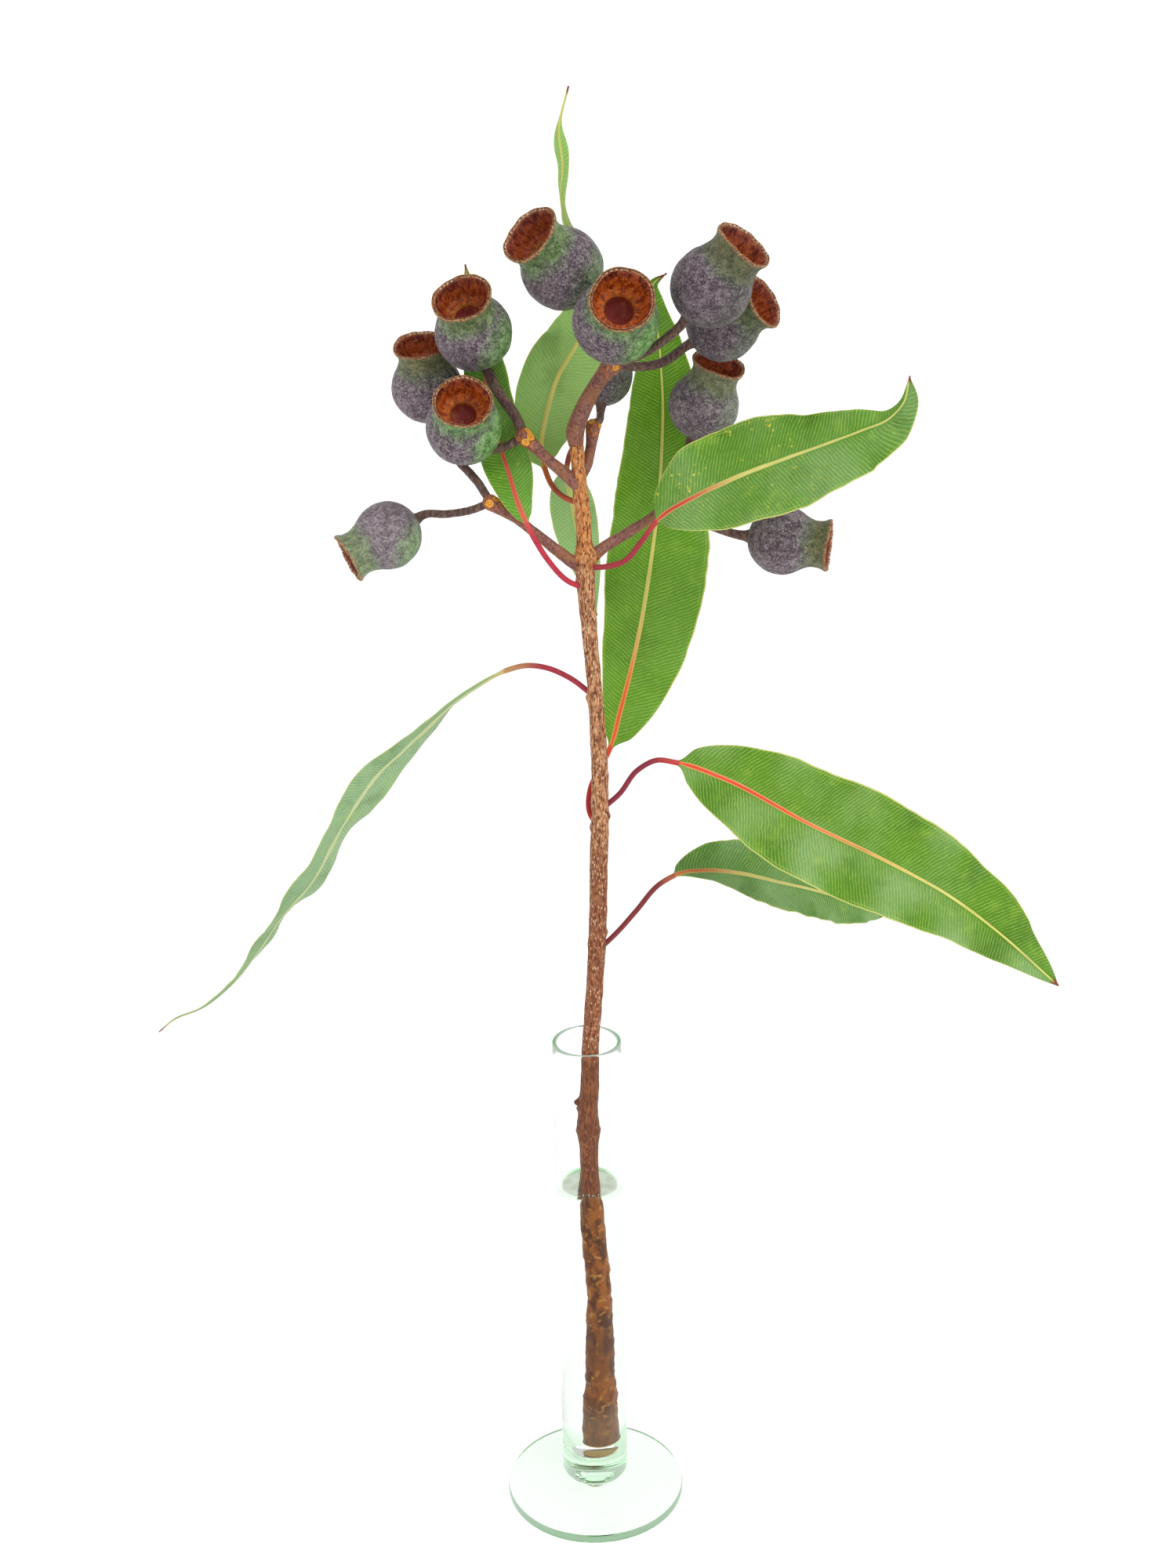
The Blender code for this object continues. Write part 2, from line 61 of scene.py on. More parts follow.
# Camera: what the photograph's ellipses give for its place and lens
IMAGE_HEIGHT = 2000
FOCAL_PIXELS = 2740
PITCH = math.radians(20.7)
ROLL = math.radians(1.12)
CAMERA_PLACE = (2.518, -752, 604)
SENSOR = 36.0

# Glass bud vase. The foot is hollow below up to the margin from its rounded edge. A turned
# body's faces meet in a fan inside the innermost ring.
FOOT_RADIUS = 37.0
FOOT_THICKNESS = 4.0
FOOT_EDGE = 1.2
FOOT_HOLLOW = 0.4
HOLLOW_MARGIN = 4.0
INNERMOST = 0.5
TUBE_RADIUS = 13.6
TUBE_WALL = 1.7
TUBE_HEEL = 3.6
TUBE_SEAT = 5.0
NECK_RADIUS = 4.7
TUBE_TOP = 212.5
TUBE_FLOOR = 20.5
FLOOR_DIP = 0.6
TUBE_CORNER = 5.0
WATER_LEVEL = 148.0
WATER_OVERLAP = 0.03
MENISCUS = 1.1
MENISCUS_REACH = 0.9
# The water's surface: how far below the level it counts as such, and from the tube's outside
SURFACE_DEPTH = 0.5
SURFACE_MARGIN = 2.6
VASE_SIDES = 128
# A ray that has bounced about in the glass this often goes straight on
DEEPEST_GLASS_RAY = 5.0
GLASS_TINT = (0.985, 0.996, 0.992, 1)
GLASS_GREEN = (0.25, 0.78, 0.28, 1)
GLASS_DENSITY = 16.0
WATER_TINT = (0.992, 0.992, 0.985, 1)
# Greys for a painted reflection on the water's surface
WATER_REFLECTION_GREYS = ((0.30, 0.30, 0.23, 1), (0.44, 0.44, 0.37, 1))
BUBBLE_TINT = (0.98, 0.98, 0.97, 1)
# A painted grey towards the grazing edges of the glass, the water and the bubbles
PAINTED_EDGE_GREY = (0.62, 0.70, 0.68, 1)
# Bubbles on the water: x, y and radius
BUBBLES = [
    (-11.0, -3.4, 0.55), (-10.6, -4.6, 0.4), (-9.9, -5.9, 0.5), (-0.8, -9.2, 0.75), (1.6, -9.4, 0.6),
    (3.6, -8.4, 0.45), (-2.6, -8.6, 0.4), (9.8, -6.2, 0.4), (10.9, 3.4, 0.45),
]

# Stem, from its cut end a little above the tube's floor up: x, y, z and radius
CUT_GAP = 2.6
CUT_END = TUBE_FLOOR + CUT_GAP
STEM = [
    (1.5, 4.2, CUT_END, 4.5), (1.5, 3.2, 38, 4.3), (2, 0.5, 77, 3.8), (2, -2, 107, 3.7),
    (1, -3.3, 125, 3.8), (0.5, -4.6, 146, 3.7), (0, -6, 170, 3.8), (0, -6.3, 177, 4.4),
    (0, -6.6, 183, 3.9), (1, -7.3, 200, 3.5), (1.5, -8, 214, 3.3), (3, -9, 233, 3.3),
    (5, -9.5, 263, 3.3), (6, -9.5, 292, 3.4), (7, -9.5, 323, 3.1), (6, -9.5, 354, 2.8),
    (4, -9.5, 384, 2.8), (3, -9, 402, 3.3), (3, -8.5, 413, 2.8), (2.5, -8, 425, 2.8),
    (1.5, -7, 438, 2.5), (0.7, -6.2, 449, 2.5),
]
STEM_SIDES = 56
STEM_STEP = 0.8
# Bumps on the stem: height, the way they look from its middle in degrees, height and spread
# in millimetres. The way is 0 to the right and -90 to the front.
STEM_BUMPS = [
    (189.5, 185, 2.0, 2.2),
    (186.5, 178, 0.9, 1.6),
    (251.8, -80, 0.7, 1.9),
    (263.0, 10, 0.8, 2.2),
    (311.0, -25, 0.9, 2.4),
    (306.0, 170, 0.6, 2.2),
    (357.0, 185, 0.8, 2.2),
    (408.0, -170, 0.9, 2.4),
    (409.0, -10, 0.9, 2.4),
    (400.0, 178, 0.5, 2.0),
    (430.0, 180, 0.6, 2.2),
    (441.0, 60, 0.6, 2.0),
]
# What turns an angle round the stem into millimetres along its skin
BUMP_RADIUS = 3.3
# Rings round the stem at its nodes: height, how far they stand out, and spread
STEM_RINGS = [
    (176.6, 0.35, 0.9),
    (409.0, 0.95, 4.2),
    (452.0, 0.30, 0.8),
]

# Dry bark at the top, in the middle and low down: its light and dark grain, how thick its dark
# flecks are and their colour, and the same for its pale flecks
DRY_BARKS = [
    ((214, 150, 88), (172, 102, 58), 0.85, (96, 46, 32), 0.5, (232, 190, 146)),
    ((208, 154, 110), (138, 84, 56), 0.85, (80, 40, 30), 0.75, (232, 196, 158)),
    ((166, 110, 76), (118, 66, 44), 0.6, (82, 40, 28), 0.8, (220, 182, 146)),
]

# Side stalks that carry the umbels, from the stem to the round knob's centre: x, y, z and
# radius, then the round scars on the knob: the way each looks and its size
STALKS = [
    ("stalk_top",
     [(0.7, -6.2, 449, 2.6), (0.4, -5.9, 453.5, 3.2), (2.2, -5.7, 459, 3.0), (6, -5.2, 466.5, 2.8),
      (10.5, -4.5, 473, 2.8), (14, -4, 477, 3.7)],
     [((0.3, -0.95, -0.2), 0.36)]),
    ("stalk_back",
     [(1.6, -6.8, 437, 1.9), (4.2, -2.5, 441.5, 2.1), (5.8, 0, 447, 1.9), (6.8, 2, 454, 2.7)],
     [((-0.2, -0.6, 0.8), 0.42), ((0.8, -0.5, 0.2), 0.36)]),
    ("stalk_left_upper",
     [(1.8, -7.3, 434, 2.2), (-3, -8, 439, 2.3), (-9, -8.5, 444.5, 2.0), (-14, -8.2, 449.5, 2.2),
      (-17.5, -8, 453, 3.2)],
     [((0.75, -0.65, 0.2), 0.46), ((0.15, -0.9, -0.45), 0.40), ((0.5, -0.4, 0.8), 0.38)]),
    ("stalk_left_lower",
     [(3, -9, 404.5, 2.3), (-3, -9.2, 409, 2.2), (-12, -9, 416.5, 1.9), (-22, -8, 424.5, 1.9),
      (-30, -7, 429.5, 2.9)],
     [((-0.1, -0.98, 0.1), 0.50), ((0.7, -0.5, 0.55), 0.36)]),
    ("stalk_right",
     [(3, -8.7, 407, 2.3), (9, -6, 411.5, 2.1), (18, -2, 416, 1.9), (28, 3, 421, 1.8),
      (35, 7, 425, 2.9)],
     [((-0.2, -0.95, 0.1), 0.42)]),
]
# The knob's rounded end: distance past its centre and radius, both as parts of its own radius
KNOB_END = ((0.35, 0.94), (0.6, 0.8), (0.8, 0.6), (0.92, 0.38), (0.98, 0.18))
STALK_SIDES = 36
STALK_STEP = 0.45

# Gum nut: distance along its axis and radius, both as parts of the body's radius.
# The outside runs up from the stalk to the rim's top.
NUT_OUTSIDE = [
    (-0.985, 0.20), (-0.95, 0.33), (-0.80, 0.61), (-0.45, 0.90), (0.00, 1.00), (0.40, 0.915),
    (0.68, 0.76), (0.93, 0.675), (1.17, 0.70), (1.29, 0.762), (1.335, 0.768), (1.368, 0.752),
]
# The rim has two lips with a groove between them, and the inner one is beaded
NUT_RIM = [
    (1.368, 0.752), (1.374, 0.740), (1.364, 0.729), (1.342, 0.722), (1.340, 0.715), (1.360, 0.708),
    (1.368, 0.698), (1.354, 0.688), (1.31, 0.678),
]
# The inside runs down the cup's wall, over its floor and the raised lip, into the pit
NUT_INSIDE = [
    (1.31, 0.678), (1.20, 0.65), (1.00, 0.60), (0.84, 0.565), (0.775, 0.53), (0.745, 0.485),
    (0.735, 0.445), (0.745, 0.405), (0.728, 0.375), (0.66, 0.350), (0.55, 0.325), (0.44, 0.270),
    (0.37, 0.18), (0.34, 0.08), (0.335, 0.004),
]
BEAD_LIP = (1.365, 0.703)
BEADS = 36
NUT_SIDES = 120

# Each nut: body centre, the way its mouth faces, body radius, its stalk's radius, and the
# points of its stalk from the knob's centre on, then its shade: how green it is, how brown its
# neck is, how dark its cup is, partly its own colour and partly painted shade, and how much lighter or
# darker it is than the others
NUTS = [
    ("gumnut_01", (-3, 2, 509), (-0.55, -0.51, 0.66), 14.2, 1.7,
     [(14, -4, 477), (9.8, 0.8, 479.5), (7, 7, 487)], (0.55, 0.30, 0.85, -0.05)),
    ("gumnut_02", (15, -20, 494), (0.10, -0.87, 0.48), 14.6, 1.9,
     [(14, -4, 477)], (1.00, 0.10, 0.10, -0.06)),
    ("gumnut_03", (-34, -3, 488.5), (-0.17, -0.65, 0.74), 13.4, 1.9,
     [(-17.5, -8, 453), (-20, -6, 459), (-26, -1, 467)], (0.80, 0.45, 0.70, -0.04)),
    ("gumnut_04", (-52, 13, 467), (-0.06, -0.36, 0.93), 12.6, 1.5,
     [(-30, -7, 429.5), (-33.5, -4.5, 435), (-42, 4, 443)], (0.25, 0.85, 0.75, 0.0)),
    ("gumnut_05", (-38, -14, 458), (0.04, -0.78, 0.63), 13.2, 1.5,
     [(-17.5, -8, 453), (-23.5, -7, 449.5), (-31, -3.5, 447.5)], (1.00, 0.0, 0.25, 0.0)),
    ("gumnut_06", (-67, -6, 418), (-0.86, -0.29, -0.42), 12.1, 1.4,
     [(-30, -7, 429.5), (-36.5, -6.3, 426.8), (-46, -4.5, 425)], (0.75, 0.40, 0.90, 0.10)),
    ("gumnut_07", (47, -22, 505), (0.57, -0.29, 0.77), 13.7, 1.6,
     [(14, -4, 477), (19.5, -6.8, 478.7), (30, -12.5, 485)], (0.12, 0.80, 0.55, -0.30)),
    ("gumnut_08", (52.7, 4, 488.5), (0.76, -0.41, 0.51), 12.9, 1.6,
     [(14, -4, 477), (19, 0, 475.2), (31, 5, 475.3)], (0.30, 0.60, 0.70, -0.40)),
    ("gumnut_09", (47, 22, 457), (0.30, -0.29, 0.91), 12.7, 1.6,
     [(35, 7, 425), (37, 12, 430.5), (40.5, 20, 437.5)], (0.30, 0.75, 0.80, 0.04)),
    ("gumnut_10", (74.8, 8, 410), (0.97, -0.22, -0.08), 12.6, 1.6,
     [(35, 7, 425), (41, 9.3, 419.8), (50, 11.5, 414.5)], (0.10, 0.85, 0.90, -0.04)),
    ("gumnut_11", (11, 28, 467), (0.10, 0.45, 0.89), 10.6, 1.4,
     [(6.8, 2, 454), (8, 9, 454), (9.3, 16.5, 453.5)], (0.35, 0.60, 0.80, -0.32)),
]
# The side of the nuts where the bloom is thin and the green shows
GREEN_SIDE = (0.85, -0.2, -0.35)

# Leaf sections. The petiole turns into the blade over the first part of it, JOIN.
BLADE_HALF_THICKNESS = 0.22
RIB_HALF_WIDTH = 0.75
RIB_UPPER = 0.28
RIB_UNDER = 0.75
PETIOLE_RADIUS = 1.0
JOIN = 0.035
# How far the broad swells across a blade stand up, and how long they are
SWELLS = {"leaf_04": 1.0, "leaf_05": 1.3, "leaf_06": 2.4, "leaf_07": 1.0}
SWELL_LENGTH = 31.0
# Where a blade widens again near its tip, over how much of its length, and by how much
TAILS = {"leaf_01": (0.855, 0.045, 1.5)}
NO_TAIL = (0.5, 1.0, 0.0)
LEAF_STEPS = 190
LEAF_HALF_ACROSS = 22

# Each leaf: half width, rise and fall of its outline, how much wider its right half is at the
# base and at the tip, the way its upper face looks, how far its halves fold up, height and
# number of its edge's waves, index of the point where the blade begins, and the midrib's
# points from the stem out: x, y, z and turn in degrees
LeafShape = namedtuple("LeafShape", "name widest rise fall base_lean tip_lean facing fold wave waves"
                                    " base midrib")
LEAVES = [
    ("leaf_01", 13.0, 0.70, 2.00, 0.0, 0.0, (0.0, 1.0, 0.1), 0.10, 0.6, 2.5, 3,
     [(2, -7.7, 428.5, 0), (-3.5, -4.5, 430, 0), (-8, 1, 433, 0), (-10.5, 5, 438, 0), (-11.8, 8, 446, 0),
      (-10, 11.5, 456, 0), (-5.5, 15.5, 469, 10), (2, 20, 481, 20), (6, 24, 494, 40), (4, 25, 509, 65),
      (-0.5, 22.5, 520, 74), (-2.5, 20, 529, 76), (-2, 17.5, 542, 30), (-3, 16, 554, 20),
      (0.5, 14, 568, 60)]),
    ("leaf_02", 8.3, 0.60, 1.20, 0.0, 0.0, (-0.1, 1.0, 0.0), 0.10, 0.6, 2.0, 3,
     [(1, -6.5, 444, 0), (0.5, -1, 447, 0), (-1.5, 5, 444, 0), (-3, 8, 437, 0), (-1.5, 12, 425, 0),
      (1, 14, 410, 0), (4, 13.5, 398, 0), (7, 11, 382, 0)]),
    ("leaf_03", 9.8, 0.70, 1.00, 0.10, 0.20, (0.2, -1.0, 0.1), 0.10, 0.8, 2.5, 4,
     [(3.2, -9.2, 398, 0), (-3, -12, 401.5, 0), (-10, -14.5, 410, 0), (-14, -15.5, 417, 0),
      (-17, -15, 423, 0), (-20, -12, 430, 10), (-22.8, -5, 438, 20), (-26.5, 3, 449, 30),
      (-30.5, 10.5, 466, 40), (-33.5, 15.5, 484, 40), (-37, 17, 509, 40)]),
    ("leaf_04", 19.0, 0.75, 1.05, 0.30, 0.0, (0.1, -1.0, 0.25), 0.12, 0.9, 2.5, 4,
     [(6.8, -9.5, 305, 0), (2.8, -5.5, 311, 0), (3.5, -1.5, 319, 0), (7, 2, 325, 0), (10.7, 5, 331.3, 0),
      (15, 9.5, 345, 0), (22.5, 18, 372, 0), (28, 27, 401, -5), (31.3, 33, 427, -8),
      (32.6, 37, 452, -10), (31.6, 39.5, 476, -8), (29.7, 39, 491, 0), (29.6, 38.3, 498, 0),
      (34.5, 37, 502, 0)]),
    ("leaf_05", 18.7, 0.65, 1.05, -0.15, 0.60, (0.1, -0.8, 0.6), 0.10, 0.7, 2.0, 4,
     [(3.2, -9, 406, 0), (9, -12, 406.5, 0), (17, -13.5, 409, 0), (23, -14, 416, 0), (28, -14, 422.7, 0),
      (42.5, -18, 433, 0), (54, -21, 439, 0), (83, -31, 452, 0), (97, -35, 458, 5),
      (106, -37, 462.5, 15), (110.5, -36.5, 467.5, 25), (112.5, -34, 476, 30)]),
    ("leaf_06", 21.3, 0.65, 0.92, 0.0, -0.12, (0.05, -0.9, 0.43), 0.08, 1.2, 3.0, 4,
     [(7, -9.5, 313, 0), (14, -9, 319, 0), (21, -8, 328, 0), (28, -7.5, 331.5, 0), (35, -7, 330.3, 0),
      (53, -8.5, 324, 0), (82, -13.5, 308.6, 0), (117, -19, 291.5, 0), (135, -22, 281.5, 0),
      (153, -25, 268, 0), (177, -28, 246, 0)]),
    ("leaf_07", 13.0, 0.78, 0.75, -0.50, 0.0, (-0.5, -0.75, 0.6), 0.14, 1.2, 3.5, 4,
     [(3.5, -9.3, 254, 0), (13, -6, 262, 0), (20, -3, 269, 0), (29, 1, 278, 0), (34, 3.5, 280, 0),
      (48, 12, 278.5, 0), (61, 18, 274.5, 0), (77, 26, 267, 0), (93, 35, 259, 0), (108, 44, 250, 0),
      (123, 54, 239, 0)]),
    ("leaf_08", 9.0, 0.75, 0.95, 0.40, 0.0, (-0.2, 1.0, -0.2), 0.10, 1.0, 4.0, 4,
     [(4.8, -9.5, 358, 0), (-3, -6.5, 363.5, 0), (-12.5, -3.5, 367, 0), (-19.5, -1, 367, 0),
      (-25.7, 1, 365, 30), (-35, 4, 359.5, 60), (-48.7, 7, 349.5, 78), (-57, 8, 341, 58),
      (-80, 10, 318, 32), (-91, 10, 302, 50), (-107, 10.5, 275, 50), (-116.5, 11, 264.5, 74),
      (-127, 11.5, 249.5, 52), (-137.5, 12, 236, 78), (-151, 12, 224.5, 80), (-164, 12, 218.5, 78),
      (-169.5, 12, 213.8, 70)]),
]

# Looks of each leaf: the colours of its faces, of its midrib at the base and further out, and
# of its petiole; how far along the blade the base colour goes, how speckled it is, how thick
# its painted sheen is, how uneven its edge is, and the record's slot
LeafLook = namedtuple("LeafLook", "upper under rib_base rib_out petiole reach specks pale ripple slot")
LEAF_LOOKS = {
    "leaf_01": LeafLook((90, 140, 50), (150, 192, 104), (212, 120, 52), (214, 204, 112),
                        (176, 84, 58), 0.04, 0.0, 0.3, 0.6, "leaf_under"),
    "leaf_02": LeafLook((90, 140, 50), (146, 190, 120), (190, 190, 110), (200, 204, 120),
                        (150, 70, 50), 0.1, 0.0, 0.9, 0.5, "leaf_under"),
    "leaf_03": LeafLook((96, 152, 44), (120, 165, 95), (216, 92, 78), (212, 132, 92),
                        (186, 52, 70), 0.5, 0.3, 0.3, 0.6, "leaf_upper"),
    "leaf_04": LeafLook((94, 148, 20), (120, 165, 95), (232, 98, 52), (218, 208, 116),
                        (172, 52, 44), 0.20, 0.06, 0.15, 0.8, "leaf_upper"),
    "leaf_05": LeafLook((88, 138, 36), (120, 165, 95), (204, 74, 62), (214, 208, 120),
                        (158, 52, 62), 0.22, 0.9, 0.55, 0.7, "leaf_upper"),
    "leaf_06": LeafLook((90, 138, 28), (120, 165, 95), (226, 78, 56), (222, 214, 120),
                        (134, 46, 62), 0.42, 0.12, 0.75, 0.6, "leaf_upper"),
    "leaf_07": LeafLook((90, 134, 62), (118, 158, 104), (214, 122, 74), (206, 196, 116),
                        (128, 52, 54), 0.20, 0.02, 0.8, 1.8, "leaf_upper"),
    "leaf_08": LeafLook((90, 140, 60), (136, 168, 128), (196, 182, 116), (196, 204, 150),
                        (164, 52, 66), 0.05, 0.0, 0.5, 0.3, "leaf_under"),
}


def srgb(red, green, blue):
    """A linear colour from the usual numbers from 0 to 255."""
    parts = [c / 255 for c in (red, green, blue)]
    linear = [c / 12.92 if c <= 0.04045 else ((c + 0.055) / 1.055) ** 2.4 for c in parts]
    return (*linear, 1.0)


class Route:
    """A smooth curve through given points: x, y, z and what else a point carries."""

    def __init__(self, points, size=3):
        self.points = np.array(points, dtype=float)
        steps = np.linalg.norm(np.diff(self.points[:, :size], axis=0), axis=1)
        self.knots = np.concatenate(([0.0], np.cumsum(steps)))
        self.slopes = np.gradient(self.points, self.knots, axis=0)
        self.length = self.knots[-1]

    def at(self, distances):
        """The curve's points at an array of distances along it."""
        span = np.searchsorted(self.knots, distances, side="right") - 1
        span = np.clip(span, 0, len(self.knots) - 2)
        length = (self.knots[span + 1] - self.knots[span])[:, None]
        u = (distances - self.knots[span])[:, None] / length
        start = self.points[span] * (2 * u ** 3 - 3 * u ** 2 + 1)
        start_slope = self.slopes[span] * length * (u ** 3 - 2 * u ** 2 + u)
        end = self.points[span + 1] * (3 * u ** 2 - 2 * u ** 3)
        end_slope = self.slopes[span + 1] * length * (u ** 3 - u ** 2)
        return start + start_slope + end + end_slope


def unit(vectors):
    vectors = np.asarray(vectors, dtype=float)
    return vectors / np.linalg.norm(vectors, axis=-1, keepdims=True)


def together(*values):
    """Numbers of each point of a grid, put together as vectors."""
    return np.stack(np.broadcast_arrays(*values), axis=-1)


def smooth_step(value):
    value = np.clip(value, 0.0, 1.0)
    return value * value * (3 - 2 * value)


def carried_sides(directions, first):
    """A side vector for each direction, carried along without twist."""
    side = np.array(first, dtype=float)
    sides = []
    for direction in directions:
        side = unit(side - np.dot(side, direction) * direction)
        sides.append(side)
    return np.array(sides)


def rough(points, size, seed=0.0, octaves=1):
    """Noise from -1 to 1 at each point, with lumps of about the size given in millimetres."""
    offset = Vector((seed, 2.3 * seed, -1.7 * seed))
    shape = points.shape[:-1]
    flat = points.reshape(-1, 3) / size
    found = [noise.fractal(Vector(p) + offset, 0.6, 2.0, octaves) for p in flat]
    return np.array(found).reshape(shape)


def ring_grid(centres, directions, sides, radii, count):
    """Rings of points round a centre line, the way each looks from it, and the angles round."""
    others = np.cross(directions, sides)
    angles = np.arange(count) * 2 * math.pi / count
    ways = (np.cos(angles)[None, :, None] * sides[:, None, :]
            + np.sin(angles)[None, :, None] * others[:, None, :])
    return centres[:, None, :] + ways * radii[:, None, None], ways, angles


def tube_frame(route, step):
    """Stations along a route: their centres, directions, sides and radii."""
    found = route.at(np.linspace(0, route.length, max(4, int(route.length / step))))
    centres = found[:, :3]
    directions = unit(np.gradient(centres, axis=0))
    return centres, directions, carried_sides(directions, (1.0, 0.1, 0.0)), found[:, 3]


def grid_faces(rows, count):
    """Quads over a grid whose rows close on themselves, with a fan in each end."""
    first = np.arange(rows - 1)[:, None] * count
    here = first + np.arange(count)
    right = first + (np.arange(count) + 1) % count
    quads = np.stack([here, right, right + count, here + count], axis=-1).reshape(-1, 4).tolist()
    middle = rows * count
    last_row = (rows - 1) * count
    fans = []
    for k in range(count):
        k2 = (k + 1) % count
        fans.append([middle, k2, k])
        fans.append([middle + 1, last_row + k, last_row + k2])
    return quads + fans


def closed_tube(grid, values):
    """Points, faces and values of a grid of rings, closed at both ends by a middle point."""
    points = np.concatenate([grid.reshape(-1, 3), [grid[0].mean(0)], [grid[-1].mean(0)]])
    full = {}
    for key, data in values.items():
        flat = data.reshape(grid.shape[0] * grid.shape[1], -1)
        ends = [data[0].mean(0).reshape(1, -1), data[-1].mean(0).reshape(1, -1)]
        full[key] = np.concatenate([flat, *ends])
    return points, grid_faces(grid.shape[0], grid.shape[1]), full


def volume(points, faces):
    """Six times the volume that the faces close in, positive where they point out."""
    total = 0.0
    for size in (3, 4):
        some = np.array([f for f in faces if len(f) == size])
        if len(some):
            for k in range(1, size - 1):
                a, b, c = points[some[:, 0]], points[some[:, k]], points[some[:, k + 1]]
                total += np.einsum("ij,ij->i", a, np.cross(b, c)).sum()
    return total


def piece(name, points, faces, look, nodes, values=None):
    """A smooth closed mesh from points in millimetres, which stands for some of the nodes."""
    if volume(points, faces) < 0:
        faces = [f[::-1] for f in faces]
    mesh = bpy.data.meshes.new(name)
    mesh.from_pydata((points * MM).tolist(), [], faces)
    for key, data in (values or {}).items():
        single = data.shape[1] == 1
        made = mesh.attributes.new(key, "FLOAT" if single else "FLOAT_VECTOR", "POINT")
        made.data.foreach_set("value" if single else "vector", data.astype(np.float32).ravel())
    mesh.shade_smooth()
    mesh.materials.append(look)
    made = bpy.data.objects.new(name, mesh)
    bpy.context.scene.collection.objects.link(made)
    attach(made, "root")
    if nodes:
        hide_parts(*nodes)


def ringed_piece(name, grid, values, look, nodes):
    """A piece from a grid of rings, closed at both ends, with values at the grid's points."""
    points, faces, values = closed_tube(grid, values)
    piece(name, points, faces, look, nodes, values)


class Look:
    """Short calls that build a material's node tree. A colour is a socket, or red, green and blue
    from 0 to 255, or a linear colour of four numbers."""

    def __init__(self, name):
        self.material = bpy.data.materials.new(name)
        self.material.use_nodes = True
        self.tree = self.material.node_tree
        self.shader = self.tree.nodes["Principled BSDF"]
        self.place = self.node("ShaderNodeTexCoord").outputs["Object"]

    def node(self, kind, inputs=(), **settings):
        made = self.tree.nodes.new(kind)
        for key, value in settings.items():
            setattr(made, key, value)
        for key, value in dict(inputs).items():
            self.feed(made.inputs[key], value)
        return made

    def feed(self, socket, value):
        if isinstance(value, bpy.types.NodeSocket):
            self.tree.links.new(value, socket)
        else:
            socket.default_value = value

    def value(self, name):
        return self.node("ShaderNodeAttribute", attribute_name=name).outputs["Fac"]

    def vector(self, name):
        found = self.node("ShaderNodeAttribute", attribute_name=name).outputs["Vector"]
        return self.node("ShaderNodeSeparateXYZ", {0: found}).outputs

    def math(self, operation, a, b=0.0, c=0.0):
        return self.node("ShaderNodeMath", {0: a, 1: b, 2: c}, operation=operation).outputs[0]

    def times(self, a, b):
        return self.math("MULTIPLY", a, b)

    def larger(self, a, b):
        return self.math("MAXIMUM", a, b)

    def added(self, value, factor, start):
        """The value times the factor, added to the start."""
        return self.math("MULTIPLY_ADD", value, factor, start)

    def step(self, value, low, high):
        """0 below the low value, 1 above the high one, and smooth between."""
        made = self.node("ShaderNodeMapRange", {0: value, 1: low, 2: high},
                         interpolation_type="SMOOTHSTEP")
        return made.outputs[0]

    def band(self, value, middle, half):
        """1 at the middle value, falling smoothly to 0 at half the band's width each way."""
        off = self.math("ABSOLUTE", self.math("SUBTRACT", value, middle))
        return self.math("SUBTRACT", 1.0, self.step(off, 0.0, half))

    def mix(self, factor, a, b):
        made = self.node("ShaderNodeMix", data_type="RGBA")
        self.feed(made.inputs[0], factor)
        for index, colour in ((6, a), (7, b)):
            if isinstance(colour, tuple) and len(colour) == 3:
                colour = srgb(*colour)
            self.feed(made.inputs[index], colour)
        return made.outputs[2]

    def blend(self, value, low, high, a, b):
        """Colour a at the low value, colour b at the high one, and smooth between."""
        return self.mix(self.step(value, low, high), a, b)

    def paint(self, base, *layers):
        """The base with layers over it: where each is, how thick it is there and its colour."""
        for where, thickness, colour in layers:
            base = self.mix(self.times(where, thickness), base, colour)
        return base

    def noise(self, size, detail=3.0, roughness=0.55, stretch=(1, 1, 1), place=None):
        """Noise whose lumps are about the given size in millimetres."""
        scaled = self.node("ShaderNodeMapping", {0: place or self.place, 3: stretch}).outputs[0]
        made = self.node("ShaderNodeTexNoise", {"Vector": scaled, "Scale": 1 / (size * MM),
                                                "Detail": detail, "Roughness": roughness})
        return made.outputs[0]

    def cells(self, size, stretch=(1, 1, 1)):
        """Distance to the nearest of scattered points, in cells of about the given size."""
        scaled = self.node("ShaderNodeMapping", {0: self.place, 3: stretch}).outputs[0]
        made = self.node("ShaderNodeTexVoronoi", {"Vector": scaled, "Scale": 1 / (size * MM)})
        return made.outputs["Distance"]

    def finish(self, colour, roughness, height=None, strength=0.4, distance=0.3, specular=0.5):
        """Sets the skin's colour and gloss, and its relief with a depth in millimetres."""
        self.feed(self.shader.inputs["Base Color"], colour)
        self.feed(self.shader.inputs["Roughness"], roughness)
        self.shader.inputs["Specular IOR Level"].default_value = specular
        if height is not None:
            bump = self.node("ShaderNodeBump", {"Strength": strength, "Distance": distance * MM,
                                                "Height": height})
            self.feed(self.shader.inputs["Normal"], bump.outputs[0])
        return self.material


